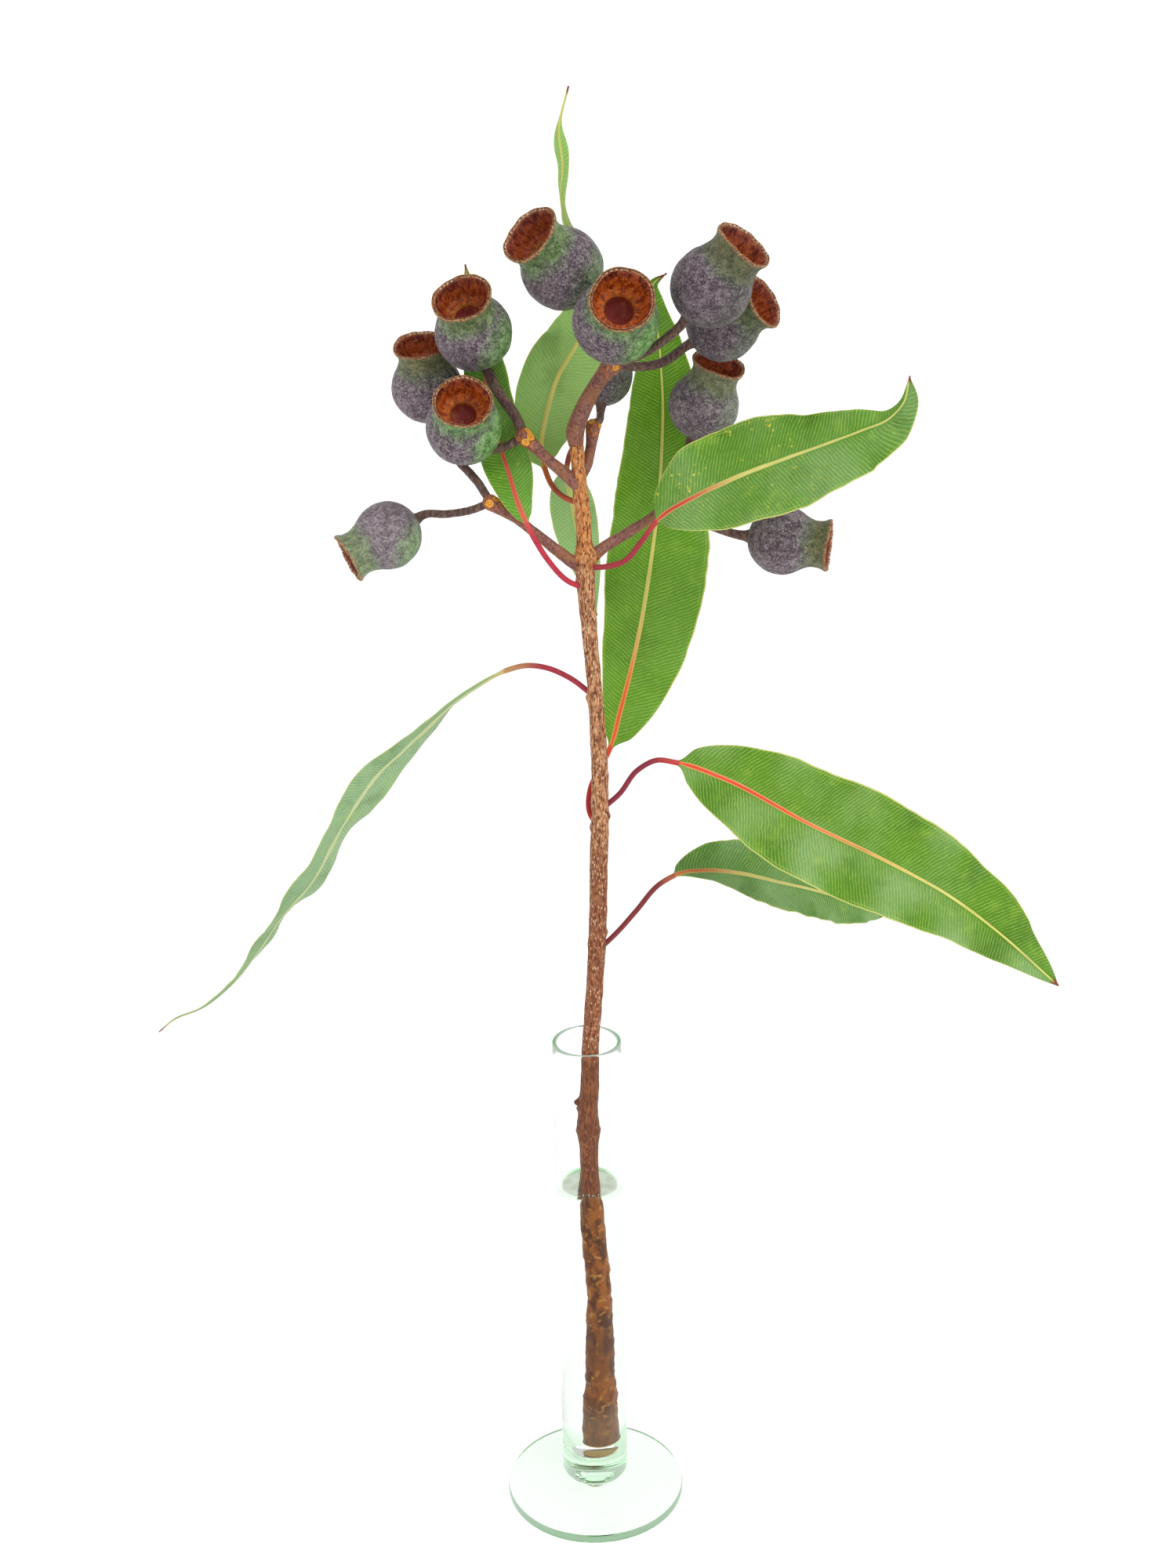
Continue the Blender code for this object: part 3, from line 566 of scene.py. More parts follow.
def leaf_look(name):
    """Leaf skin: blotchy green with fine slanting veins, a pale edge and a coloured midrib."""
    tones = LEAF_LOOKS[name]
    look = Look(name + "_skin")
    across, along, share = look.vector("spot")
    part, join, side = look.vector("facts")
    crest = look.value("crest")
    away = look.math("ABSOLUTE", part)
    off = look.math("ABSOLUTE", across)
    is_under = look.step(side, 0.2, -0.2)
    body = look.mix(is_under, tones.upper, tones.under)
    # The colour of the painted sheen, and a darker green that is painted shade in the hollows and the
    # darker tissue between the veins
    pale = look.mix(0.45, body, (170, 198, 152))
    deep = look.mix(0.6, body, (44, 92, 22))

    # Painted sheen, uneven, stronger on one half of the blade than on the other and on the swells'
    # crests, and painted shade in the swells' hollows
    painted_sheen = look.added(look.step(part, -0.25, 0.35), 0.18, look.noise(34, 2))
    painted_sheen = look.step(look.added(crest, 0.14, painted_sheen), 0.42, 0.86)
    # Painted shade in the hollows between the swells
    hollow = look.step(look.added(crest, -0.15, look.noise(15, 3)), 0.50, 0.80)
    body = look.paint(body, (painted_sheen, tones.pale, pale), (hollow, 0.7, deep))
    bright = look.mix(0.5, body, (172, 204, 70))
    body = look.paint(body, (look.step(look.noise(7, 4), 0.54, 0.76), 0.4, bright))

    # Fine veins slant out from the rib, and one runs round inside the pale edge
    slant = look.added(off, -0.55, along)
    slant = look.added(look.noise(5, 2), 1.6, slant)
    beat = look.math("PINGPONG", slant, 0.66)
    broken = look.step(look.noise(2.2, 2), 0.34, 0.6)
    vein = look.times(look.step(beat, 0.24, 0.02), look.added(broken, 0.6, 0.4))
    vein = look.times(vein, look.step(off, 0.7, 1.6))
    vein_colour = look.mix(0.6, body, (190, 214, 110))
    between = look.times(look.step(beat, 0.42, 0.64), look.step(look.noise(1.6, 3), 0.4, 0.62))
    loop = look.times(look.band(away, 0.93, 0.02), look.step(look.noise(9, 1), 0.35, 0.6))
    body = look.paint(body, (vein, 0.8, vein_colour), (between, 0.42, deep))
    pale_edge = look.step(away, 0.965, 0.985)
    body = look.paint(body, (loop, 0.5, vein_colour), (pale_edge, 0.9, (206, 208, 118)))

    if tones.specks:
        patch = look.step(look.noise(11, 2), 0.46, 0.62)
        dots = look.step(look.cells(2.6), 0.24, 0.10)
        smear = look.step(look.noise(2.4, 4, 0.7), 0.60, 0.70)
        spots = look.times(look.times(look.larger(dots, smear), patch), look.step(share, 0.75, 0.35))
        body = look.paint(body, (spots, tones.specks, (216, 204, 64)))

    # The midrib narrows and loses its red towards the tip, which is dry
    rib_colour = look.blend(share, tones.reach * 1.7, tones.reach * 0.5, tones.rib_out, tones.rib_base)
    width = look.added(share, -0.85, 1.15)
    border = look.step(off, width, look.times(width, 0.75))
    rib = look.step(off, look.times(width, 0.7), look.times(width, 0.35))
    body = look.paint(body, (border, 0.85, look.mix(0.5, rib_colour, tones.rib_out)),
                      (rib, 1.0, rib_colour), (look.step(share, 0.972, 0.992), 1.0, (126, 60, 46)))
    petiole = look.paint(tones.petiole, (look.step(look.noise(1.4, 3), 0.5, 0.72), 0.4, (96, 36, 48)))
    petiole = look.blend(share, -0.07, 0.0, petiole, look.mix(0.5, tones.petiole, tones.rib_base))
    body = look.blend(join, 0.30, 0.04, body, petiole)

    gloss = look.added(look.noise(3, 3), 0.16, 0.34)
    gloss = look.added(is_under, 0.14, gloss)
    height = look.added(vein, -0.35, look.times(look.noise(0.5, 2), 0.35))
    look.shader.inputs["Subsurface Weight"].default_value = 0.06
    look.shader.inputs["Subsurface Radius"].default_value = (0.4, 1.0, 0.2)
    look.shader.inputs["Subsurface Scale"].default_value = 1.2 * MM
    return look.finish(body, gloss, height, 0.4, 0.3, 0.2)


def nut_look(name, green_share, neck_brown, cup_dark_and_shade, tone):
    """Nut skin: grey-purple bloom over green, a tan rim, and an orange cup with a dark pit."""
    look = Look(name + "_skin")
    turn_x, turn_y, along = look.vector("round")
    green_side, profile, on_nut = look.vector("facts")
    fine = look.noise(0.75, 3, 0.65)
    mid = look.noise(2.6, 4, 0.65)
    large = look.noise(11, 3)
    dark_speck = look.step(fine, 0.54, 0.63)
    pale_speck = look.step(fine, 0.44, 0.36)
    blot = look.step(look.noise(1.2, 4, 0.7), 0.53, 0.62)
    dots = look.times(look.step(look.cells(1.1), 0.30, 0.16), look.step(large, 0.36, 0.60))
    around = look.node("ShaderNodeCombineXYZ", {0: turn_x, 1: turn_y, 2: look.times(profile, 0.5)})
    streak = look.noise(0.16 / MM, 4, 0.65, place=around.outputs[0])
    furrow = look.times(look.step(along, 0.45, 0.85), look.step(streak, 0.50, 0.64))

    bloom = look.blend(mid, 0.38, 0.66, (92, 76, 86), (140, 126, 132))
    bloom = look.paint(bloom, (blot, 0.65, (54, 41, 51)), (dots, 0.7, (44, 32, 42)),
                       (dark_speck, 0.8, (44, 33, 42)), (pale_speck, 0.5, (192, 182, 186)))
    green = look.blend(mid, 0.35, 0.7, (76, 120, 54), (136, 180, 106))
    green = look.paint(green, (look.larger(dark_speck, dots), 0.55, (50, 70, 42)),
                       (pale_speck, 0.3, (170, 196, 150)), (furrow, 0.5, (52, 66, 40)))
    olive = look.blend(mid, 0.35, 0.7, (90, 88, 52), (128, 120, 78))
    olive = look.paint(olive, (dark_speck, 0.65, (52, 36, 30)))

    # The bloom is thick on the belly, and thin on the lit side and the neck
    large_change = look.math("SUBTRACT", large, 0.5)
    mid_change = look.math("SUBTRACT", mid, 0.5)
    lit = look.added(mid_change, 0.3, look.added(large_change, 0.6, green_side))
    lit = look.times(look.step(lit, 0.34, 0.95), green_share)
    neck = look.added(mid_change, 0.4, look.added(large_change, 0.5, along))
    neck = look.step(neck, 0.46, 0.98)
    bare = look.larger(lit, look.times(neck, 0.85))
    bare = look.times(bare, look.added(dark_speck, -0.35, 1.0))
    skin = look.mix(bare, bloom, look.mix(look.times(neck, neck_brown), green, olive))
    skin = look.mix(max(0.0, -tone), skin, look.mix(0.9, skin, (26, 18, 22)))
    skin = look.mix(max(0.0, tone), skin, (190, 184, 184))

    # The rim is tan, with a dark groove between its lips and pale beads on the inner one
    tan = look.blend(look.noise(0.8, 3), 0.38, 0.62, (118, 68, 42), (186, 138, 94))
    under_rim = look.times(look.step(along, 1.27, 1.335), look.step(look.noise(1.5, 3), 0.34, 0.6))
    beat = look.math("SINE", look.times(look.math("ARCTAN2", turn_y, turn_x), float(BEADS)))
    bead = look.times(look.band(profile, 1.70, 0.18), look.step(beat, -0.2, 0.7))
    bead = look.times(bead, look.step(look.noise(3.5, 2), 0.38, 0.6))
    skin = look.paint(skin, (under_rim, 1.0, tan), (look.step(profile, 0.985, 1.0), 1.0, tan),
                      (look.band(profile, 1.46, 0.22), 0.85, (84, 40, 28)),
                      (bead, 0.85, (236, 226, 214)))

    # The cup's wall is streaked too and orange at its floor, and darker at its mouth, partly its own
    # red-brown and partly painted shade
    wall_low = look.blend(streak, 0.40, 0.62, (206, 104, 30), (138, 52, 20))
    mouth_wall_and_shade = look.blend(streak, 0.40, 0.62, (182, 92, 62), (66, 20, 16))
    wall = look.blend(profile, 2.0, 2.7, mouth_wall_and_shade, wall_low)
    wall = look.paint(wall, (look.step(look.noise(1.3, 4, 0.7), 0.52, 0.66), 0.65, (74, 24, 16)),
                      (look.step(look.noise(1.8, 3, 0.7), 0.58, 0.70), 0.6, (236, 158, 72)))
    # Each nut's cup wall is darkened more, partly its own colour and partly painted shade in the hollow
    wall = look.mix(cup_dark_and_shade * 0.6, wall, (100, 38, 32))
    pit = look.blend(look.noise(5, 2), 0.48, 0.80, (136, 56, 50), (186, 128, 84))
    in_pit = look.step(profile, 3.24, 3.36)
    # The pale band on the pit's raised lip is a painted highlight where its edge catches the light
    skin = look.paint(skin, (look.step(profile, 1.93, 2.04), 1.0, wall),
                      (look.band(profile, 3.18, 0.12), 0.5, (214, 160, 84)), (in_pit, 1.0, pit))

    wood = look.blend(look.noise(1.2, 4, 0.6, (1, 1, 0.3)), 0.35, 0.7, (78, 54, 56), (122, 98, 80))
    wood = look.paint(wood, (look.step(look.cells(1.1), 0.28, 0.12), 0.5, (160, 136, 110)))
    skin = look.blend(on_nut, 0.65, 0.25, skin, wood)

    inner = look.step(profile, 1.9, 2.1)
    gloss = look.added(fine, 0.2, 0.42)
    gloss = look.added(inner, -0.18, gloss)
    gloss = look.added(in_pit, -0.14, gloss)
    height = look.added(mid, 0.5, fine)
    height = look.added(look.times(streak, inner), 1.5, height)
    return look.finish(skin, gloss, height, 0.7, 0.5, 0.26)


def bark_look():
    """Bark: flecked tan at the top, brown below, smooth and red-brown in the vase, wet under water."""
    look = Look("stem_bark")
    height = look.times(look.node("ShaderNodeSeparateXYZ", {0: look.place}).outputs[2], 1 / MM)
    wobble = look.added(look.noise(8, 2), 14.0, look.math("SUBTRACT", height, 7.0))
    grain = look.noise(0.8, 4, 0.65, (1, 1, 0.3))
    pale_fleck = look.step(look.cells(1.0, (1, 1, 0.42)), 0.36, 0.18)
    dark_fleck = look.step(look.noise(0.9, 3, 0.6, (1, 1, 0.35)), 0.54, 0.62)
    dry = []
    for light, dark, thickness, fleck, pale_thickness, pale in DRY_BARKS:
        bark = look.blend(grain, 0.36, 0.62, light, dark)
        dry.append(look.paint(bark, (dark_fleck, thickness, fleck), (pale_fleck, pale_thickness, pale)))
    top, middle, low = dry

    patch = look.step(look.noise(5, 3, 0.6, (1, 1, 0.6)), 0.42, 0.62)
    vase = look.blend(grain, 0.36, 0.62, (154, 92, 54), (98, 48, 30))
    vase = look.paint(vase, (patch, 0.45, (96, 40, 26)),
                      (look.times(pale_fleck, patch), 0.5, (190, 140, 100)))
    wet = look.blend(look.noise(3.0, 4, 0.6, (1, 1, 0.4)), 0.38, 0.62, (150, 84, 30), (84, 42, 20))
    wet = look.paint(wet, (look.step(look.noise(7, 4, 0.7, (1, 1, 0.7)), 0.50, 0.68), 0.6, (44, 22, 14)),
                     (look.step(look.noise(2.4, 3, 0.6), 0.56, 0.66), 0.6, (208, 144, 70)),
                     (look.band(height, 72, 28), 0.5, (72, 46, 34)),
                     (look.step(height, 50, 34), 0.6, (122, 98, 80)))
    skin = look.blend(wobble, 398, 414, middle, top)
    skin = look.blend(wobble, 315, 285, skin, low)
    skin = look.blend(wobble, 216, 206, skin, vase)
    skin = look.blend(height, 150, 147, skin, wet)
    cut = look.step(height, CUT_END + 0.3, CUT_END + 0.05)
    skin = look.paint(skin, (look.step(look.value("scar"), 0.4, 0.85), 0.6, (84, 44, 32)),
                      (cut, 1.0, (186, 150, 96)))
    gloss = look.blend(height, 213, 205, (0.62, 0.62, 0.62, 1), (0.46, 0.46, 0.46, 1))
    relief = look.added(pale_fleck, 0.5, grain)
    relief = look.added(dark_fleck, -0.5, relief)
    return look.finish(skin, gloss, relief, 0.7, 0.5, 0.15)


def stalk_look():
    """Side stalks: maroon-brown with pale pores, and orange round scars on the knobs."""
    look = Look("stalk_skin")
    from_stem, knob, scar = look.vector("facts")
    grain = look.noise(1.1, 4, 0.6)
    rust = look.blend(look.noise(1.0, 3), 0.4, 0.62, (204, 130, 60), (150, 66, 40))
    yellow = look.blend(look.noise(0.6, 3), 0.4, 0.62, (236, 182, 70), (214, 128, 40))
    skin = look.blend(grain, 0.36, 0.66, (148, 100, 88), (104, 62, 54))
    skin = look.paint(skin, (look.step(look.noise(6, 3), 0.48, 0.62), 0.6, (150, 98, 62)),
                      (look.step(from_stem, 6.0, 0.0), 0.7, (150, 92, 54)),
                      (look.step(look.cells(1.2), 0.22, 0.08), 0.5, (196, 162, 140)),
                      (knob, look.step(look.noise(1.8, 3), 0.46, 0.62), rust),
                      (look.step(scar, 0.30, 0.42), 1.0, yellow),
                      (look.band(scar, 0.30, 0.12), 0.8, (112, 50, 36)),
                      (look.band(scar, 0.72, 0.10), 0.7, (168, 78, 34)),
                      (look.step(scar, 0.93, 0.99), 0.8, (120, 58, 34)))
    return look.finish(skin, 0.42, grain, 0.4, 0.3, 0.25)


def clear_look(name, tint, ior, density=0.0, reflection_greys=None):
    """Clear glass or water that lets the lamps' light through. Reflection greys paint a reflection
    on the water's surface, and a painted grey darkens every grazing edge."""
    look = Look(name)
    shader = look.shader
    if reflection_greys:
        # Painted reflection: greys on the water's surface
        tint = look.mix(look.value("top"), tint, look.blend(look.noise(5, 2), 0.4, 0.6, *reflection_greys))
    # Painted shade: the colour turns grey towards the grazing edges
    edge = look.node("ShaderNodeLayerWeight", {0: 0.5}).outputs["Facing"]
    look.feed(shader.inputs["Base Color"], look.mix(look.math("POWER", edge, 6.0), tint, PAINTED_EDGE_GREY))
    shader.inputs["Roughness"].default_value = 0.0
    shader.inputs["IOR"].default_value = ior
    shader.inputs["Specular Tint"].default_value = (0.12, 0.12, 0.12, 1)
    shader.inputs["Transmission Weight"].default_value = 1.0
    path = look.node("ShaderNodeLightPath").outputs
    through = look.larger(path["Is Shadow Ray"], path["Is Diffuse Ray"])
    through = look.larger(through, look.math("GREATER_THAN", path["Ray Depth"], DEEPEST_GLASS_RAY))
    open_way = look.node("ShaderNodeBsdfTransparent", {0: (0.99, 0.995, 0.99, 1)})
    both = look.node("ShaderNodeMixShader", {0: through, 1: shader.outputs[0], 2: open_way.outputs[0]})
    output = look.tree.nodes["Material Output"]
    look.feed(output.inputs[0], both.outputs[0])
    if density:
        deep = look.node("ShaderNodeVolumeAbsorption", {0: GLASS_GREEN, 1: density})
        look.feed(output.inputs[1], deep.outputs[0])
    return look.material


def quarter(radius, height, size, start, steps=8):
    """Points of a rounded corner: centre radius and height, size, and first angle in degrees."""
    angles = [math.radians(start + 90 * k / steps) for k in range(steps + 1)]
    return [(radius + size * math.cos(a), height + size * math.sin(a)) for a in angles]


def turned(name, profile, look, nodes, surface=None):
    """A closed body turned about Z, from pairs of radius and height. What is above the surface's
    height, and not against the glass, is marked as the water's surface, for its painted reflection."""
    radii, heights = np.array(profile).T
    up = np.tile((0.0, 0.0, 1.0), (len(profile), 1))
    side = np.tile((1.0, 0.0, 0.0), (len(profile), 1))
    grid, _, _ = ring_grid(together(0.0, 0.0, heights), up, side, radii, VASE_SIDES)
    values = {}
    if surface:
        is_top = (grid[..., 2] > surface) & (radii[:, None] < TUBE_RADIUS - SURFACE_MARGIN)
        values["top"] = is_top[..., None].astype(float)
    ringed_piece(name, grid, values, look, nodes)


def spread(low, high, count):
    """Inner points of a straight run of a profile, its ends left out."""
    low, high = np.array(low), np.array(high)
    return [tuple(low + (high - low) * k / count) for k in range(1, count)]


def vase(glass):
    """The round foot, hollowed a little below, with the thick-floored tube melted on to it."""
    edge = FOOT_RADIUS - FOOT_EDGE
    inner = TUBE_RADIUS - TUBE_WALL
    lip = TUBE_WALL / 2
    below = quarter(edge, FOOT_EDGE, FOOT_EDGE, -90)
    above = quarter(edge, FOOT_THICKNESS - FOOT_EDGE, FOOT_EDGE, 0)
    joint = (NECK_RADIUS, FOOT_THICKNESS)
    heel = quarter(TUBE_RADIUS - TUBE_HEEL, FOOT_THICKNESS + TUBE_SEAT + TUBE_HEEL, TUBE_HEEL, -90)
    rim = quarter(TUBE_RADIUS - lip, TUBE_TOP - lip, lip, 0)
    rim += quarter(inner + lip, TUBE_TOP - lip, lip, 90)[1:]
    corner = quarter(inner - TUBE_CORNER, TUBE_FLOOR + TUBE_CORNER, TUBE_CORNER, -90, 10)[::-1]
    profile = spread((INNERMOST, FOOT_HOLLOW), (edge - HOLLOW_MARGIN, FOOT_HOLLOW), 8) + below + above
    profile += spread(above[-1], joint, 12) + [joint, (NECK_RADIUS, heel[0][1])]
    profile += spread(profile[-1], heel[0], 5) + heel
    profile += spread(heel[-1], rim[0], 40) + rim
    profile += spread(rim[-1], corner[0], 40) + corner
    profile += spread(corner[-1], (INNERMOST, TUBE_FLOOR - FLOOR_DIP), 6)
    turned("vase_glass", profile, glass, ["vase_foot", "vase_tube"])


def water(look):
    """The water, drawn up a little where it meets the glass."""
    outer = TUBE_RADIUS - TUBE_WALL + WATER_OVERLAP
    corner = quarter(outer - TUBE_CORNER, TUBE_FLOOR + TUBE_CORNER - WATER_OVERLAP, TUBE_CORNER, -90, 10)
    top = []
    for inwards in (0, 0.25, 0.55, 1, 1.6, 2.4, 3.4):
        top.append((outer - inwards, WATER_LEVEL + MENISCUS * math.exp(-inwards / MENISCUS_REACH)))
    top += [(radius, WATER_LEVEL) for radius in (7.0, 5.0, 3.0, 1.0)]
    profile = spread((INNERMOST, TUBE_FLOOR - WATER_OVERLAP), corner[0], 5) + corner
    profile += spread(corner[-1], top[0], 30) + top
    turned("vase_water", profile, look, ["water"], WATER_LEVEL - SURFACE_DEPTH)


def stem(look):
    """The bare stem with its knots, bud, scars and rough bark."""
    centres, directions, sides, radii = tube_frame(Route(STEM), STEM_STEP)
    grid, ways, _ = ring_grid(centres, directions, sides, radii, STEM_SIDES)
    height = grid[..., 2]
    scar = np.zeros(grid.shape[:2])
    lift = np.zeros(grid.shape[:2])
    for middle, way, rise, reach in STEM_BUMPS:
        turn = math.radians(way)
        facing = ways @ np.array((math.cos(turn), math.sin(turn), 0.0))
        away = (height - middle) ** 2 + (BUMP_RADIUS * np.arccos(np.clip(facing, -1, 1))) ** 2
        shape = np.exp(-away / (reach * 0.6) ** 2)
        lift += rise * shape
        scar = np.maximum(scar, shape)
    for middle, rise, reach in STEM_RINGS:
        lift += rise * np.exp(-((height - middle) / reach) ** 2)

    # The bark is rough along the grain all the way up, and flakes under water
    bark = 0.16 * rough(grid * (1.0, 1.0, 0.25), 1.6, 3.0, 3) + 0.22 * rough(grid, 9.0, 5.0, 2)
    flaking = smooth_step((WATER_LEVEL - height) / 20)
    bark += flaking * 0.28 * rough(grid * (1.0, 1.0, 1.4), 5.0, 8.0, 3)
    ends = smooth_step((height - height.min()) / 1.5) * smooth_step((height.max() - height) / 1.5 + 0.2)
    grid = grid + ways * (lift + bark * ends)[:, :, None]
    ringed_piece("stem_bark", grid, {"scar": scar[:, :, None]}, look, ["stem"])


def stalk(name, given, scars, look):
    """A side stalk with its knob, on which fallen nuts have left round scars."""
    centres, directions, sides, radii = (list(rows) for rows in tube_frame(Route(given), STALK_STEP))
    last, knob = centres[-1], radii[-1]
    for along, part in KNOB_END:
        centres.append(last + directions[-1] * along * knob)
        directions.append(directions[-1])
        sides.append(sides[-1])
        radii.append(part * knob)
    rows = [np.array(row) for row in (centres, directions, sides, radii)]
    grid, ways, _ = ring_grid(*rows, STALK_SIDES)
    from_knob = grid - last
    distance = np.linalg.norm(from_knob, axis=-1)
    on_knob = smooth_step((2.2 * knob - distance) / (1.2 * knob))
    outwards = unit(from_knob)
    scar = np.zeros(grid.shape[:2])
    for way, size in scars:
        angle = np.arccos(np.clip(outwards @ unit(way), -1, 1))
        scar = np.maximum(scar, np.clip(1 - 0.62 * angle / size, 0, 1) * (distance < 1.5 * knob))
    relief = 0.05 * rough(grid, 1.5, 2.0, 3) + 0.10 * rough(grid, 4.5, 6.0, 2)
    rim = np.exp(-((scar - 0.34) / 0.10) ** 2) * 0.35 - 0.25 * smooth_step((scar - 0.5) / 0.2)
    grid = grid + ways * relief[:, :, None] + outwards * (rim * on_knob)[:, :, None]
    from_stem = np.linalg.norm(grid - grid[0].mean(0), axis=-1)
    values = {"facts": together(from_stem, on_knob, scar)}
    ringed_piece(name + "_bark", grid, values, look, [name])


def nut_profile():
    """Distance along, radius and a running number of the profile: 0 to 1 outside, 1 to 2 over the
    rim, and 2 to 4 inside, as rows."""
    rows = []
    for points, count, start, end in ((NUT_OUTSIDE, 60, 0.0, 1.0), (NUT_RIM, 26, 1.0, 2.0),
                                      (NUT_INSIDE, 52, 2.0, 4.0)):
        route = Route(points, 2)
        distances = np.linspace(0, route.length, count)
        found = route.at(distances)
        number = start + (end - start) * distances / route.length
        rows.append(np.column_stack([found, number])[1 if start else 0:])
    return np.concatenate(rows)


def gumnut(name, centre, facing, radius, stalk_radius, stalk_points, shade):
    """An urn-shaped nut with a two-lipped rim, an open cup and a pit, on its own stalk."""
    axis = unit(facing)
    centre = np.array(centre, dtype=float)
    base = centre - axis * radius
    lead = base - axis * radius * 0.2
    route = Route([*stalk_points, tuple(lead), tuple(base)])
    count = int(route.length / 0.6)
    distances = np.linspace(1.6, route.length - 0.02 * radius, count)
    stalk_centres = route.at(distances)
    flare = 1 + 0.55 * np.exp((distances - route.length) / 1.6)
    profile = nut_profile()
    centres = np.concatenate([stalk_centres, centre + axis * profile[:, :1] * radius])
    directions = unit(np.gradient(stalk_centres, axis=0))
    directions = np.concatenate([directions, np.tile(axis, (len(profile), 1))])
    sides = carried_sides(directions, (0.3, 0.9, 0.2))
    radii = np.concatenate([stalk_radius * flare, profile[:, 1] * radius])
    grid, ways, angles = ring_grid(centres, directions, sides, radii, NUT_SIDES)
    along = ((grid - centre) @ axis) / radius
    number = np.concatenate([np.full(count, -0.2), profile[:, 2]])[:, None]
    on_nut = np.concatenate([np.zeros(count), smooth_step((profile[:, 0] + 1.0) / 0.06)])[:, None]
    seed = float(name[-2:])

    # Low lumps and faint ribs on the outside, furrows on the neck, ridges on the cup's wall
    outside = smooth_step((1.02 - number) / 0.1) * on_nut
    inside = smooth_step((number - 2.0) / 0.2) * smooth_step((3.2 - number) / 0.3)
    ripple = 0.5 * np.sin(9 * angles + seed) + 0.5 * np.sin(14 * angles - 2 * seed)
    neck = np.exp(-((along - 0.85) / 0.3) ** 2)
    lumps = 0.018 * rough(grid, 9.0, seed, 2) + 0.005 * rough(grid, 2.2, seed + 4, 2)
    ridges = 0.030 * rough(together(np.cos(angles) * 10, np.sin(angles) * 10, 0.0), 1.1, seed, 3)
    wall = 0.016 * rough(grid, 2.4, seed + 9, 3)
    push = outside * (lumps + 0.007 * neck * ripple + 0.003 * ripple) + inside * (ridges + wall)

    # The rim is a little out of round and out of level, and its inner lip is beaded
    near_rim = smooth_step((along - 0.95) / 0.35) * (number > 0)
    oval = 0.022 * np.sin(2 * angles + seed) + 0.010 * np.sin(5 * angles + 2 * seed)
    level = 0.022 * np.sin(2 * angles + 3 * seed) + 0.016 * np.sin(3 * angles - seed)
    level = level + 0.008 * np.sin(11 * angles + seed)
    off = ((along - BEAD_LIP[0]) ** 2 + (radii[:, None] / radius - BEAD_LIP[1]) ** 2) ** 0.5
    beads = 0.012 * np.exp(-(off / 0.02) ** 2) * np.sin(BEADS * angles)
    grid = grid + ways * (radius * (push + near_rim * oval))[:, :, None]
    grid = grid + axis * (radius * (near_rim * level + beads))[:, :, None]
    bark = 0.10 * rough(grid[:count], 1.6, seed, 2)
    grid[:count] += ways[:count] * bark[:, :, None]

    green = unit(grid - centre) @ unit(GREEN_SIDE)
    values = {"round": together(np.cos(angles), np.sin(angles), along),
              "facts": together(green, number, on_nut)}
    ringed_piece(name + "_skin", grid, values, nut_look(name, *shade), [name])


def leaf_sections(shape, route):
    """Along a leaf, from the petiole's foot to the tip: distances, places, ways across and up,
    the share of the blade that is passed, half widths and how far they lean to the right."""
    blade_start = route.knots[shape.base]
    blade_length = route.length - blade_start
    petiole = np.linspace(0.0, blade_start, LEAF_STEPS // 5, endpoint=False)
    blade = blade_start + blade_length * np.linspace(0, 1, LEAF_STEPS) ** 1.1
    distances = np.concatenate([petiole, blade])
    share = (distances - blade_start) / blade_length
    t = np.clip(share, 0, 1)
    peak = shape.rise / (shape.rise + shape.fall)
    outline = (t / peak) ** shape.rise * ((1 - t) / (1 - peak)) ** shape.fall
    uneven = rough(together(distances, 0.0, 11 * shape.widest), 9.0, shape.widest, 2)
    uneven = LEAF_LOOKS[shape.name].ripple * uneven * smooth_step(t / 0.3)
    half = np.maximum(PETIOLE_RADIUS * (1 - 0.7 * t), shape.widest * outline * (1 + 0.035 * uneven))
    middle, length, extra = TAILS.get(shape.name, NO_TAIL)
    half = half + extra * np.exp(-((t - middle) / length) ** 2)
    lean = shape.base_lean * (1 - t) ** 2 + shape.tip_lean * t ** 2
    found = route.at(distances)
    centres = found[:, :3]
    directions = unit(np.gradient(centres, axis=0))
    facing = np.array(shape.facing, dtype=float)
    normals = unit(facing - (directions @ facing)[:, None] * directions)
    across = np.cross(directions, normals)
    turn = np.radians(found[:, 3])[:, None]
    turned_across = np.cos(turn) * across + np.sin(turn) * normals
    turned_normals = np.cos(turn) * normals - np.sin(turn) * across
    return distances, centres, turned_across, turned_normals, share, half, lean


def there_and_back(values):
    """Values across the upper face, then back across the under face between the two edges."""
    return np.concatenate([values, values[..., -2:0:-1]], axis=-1)


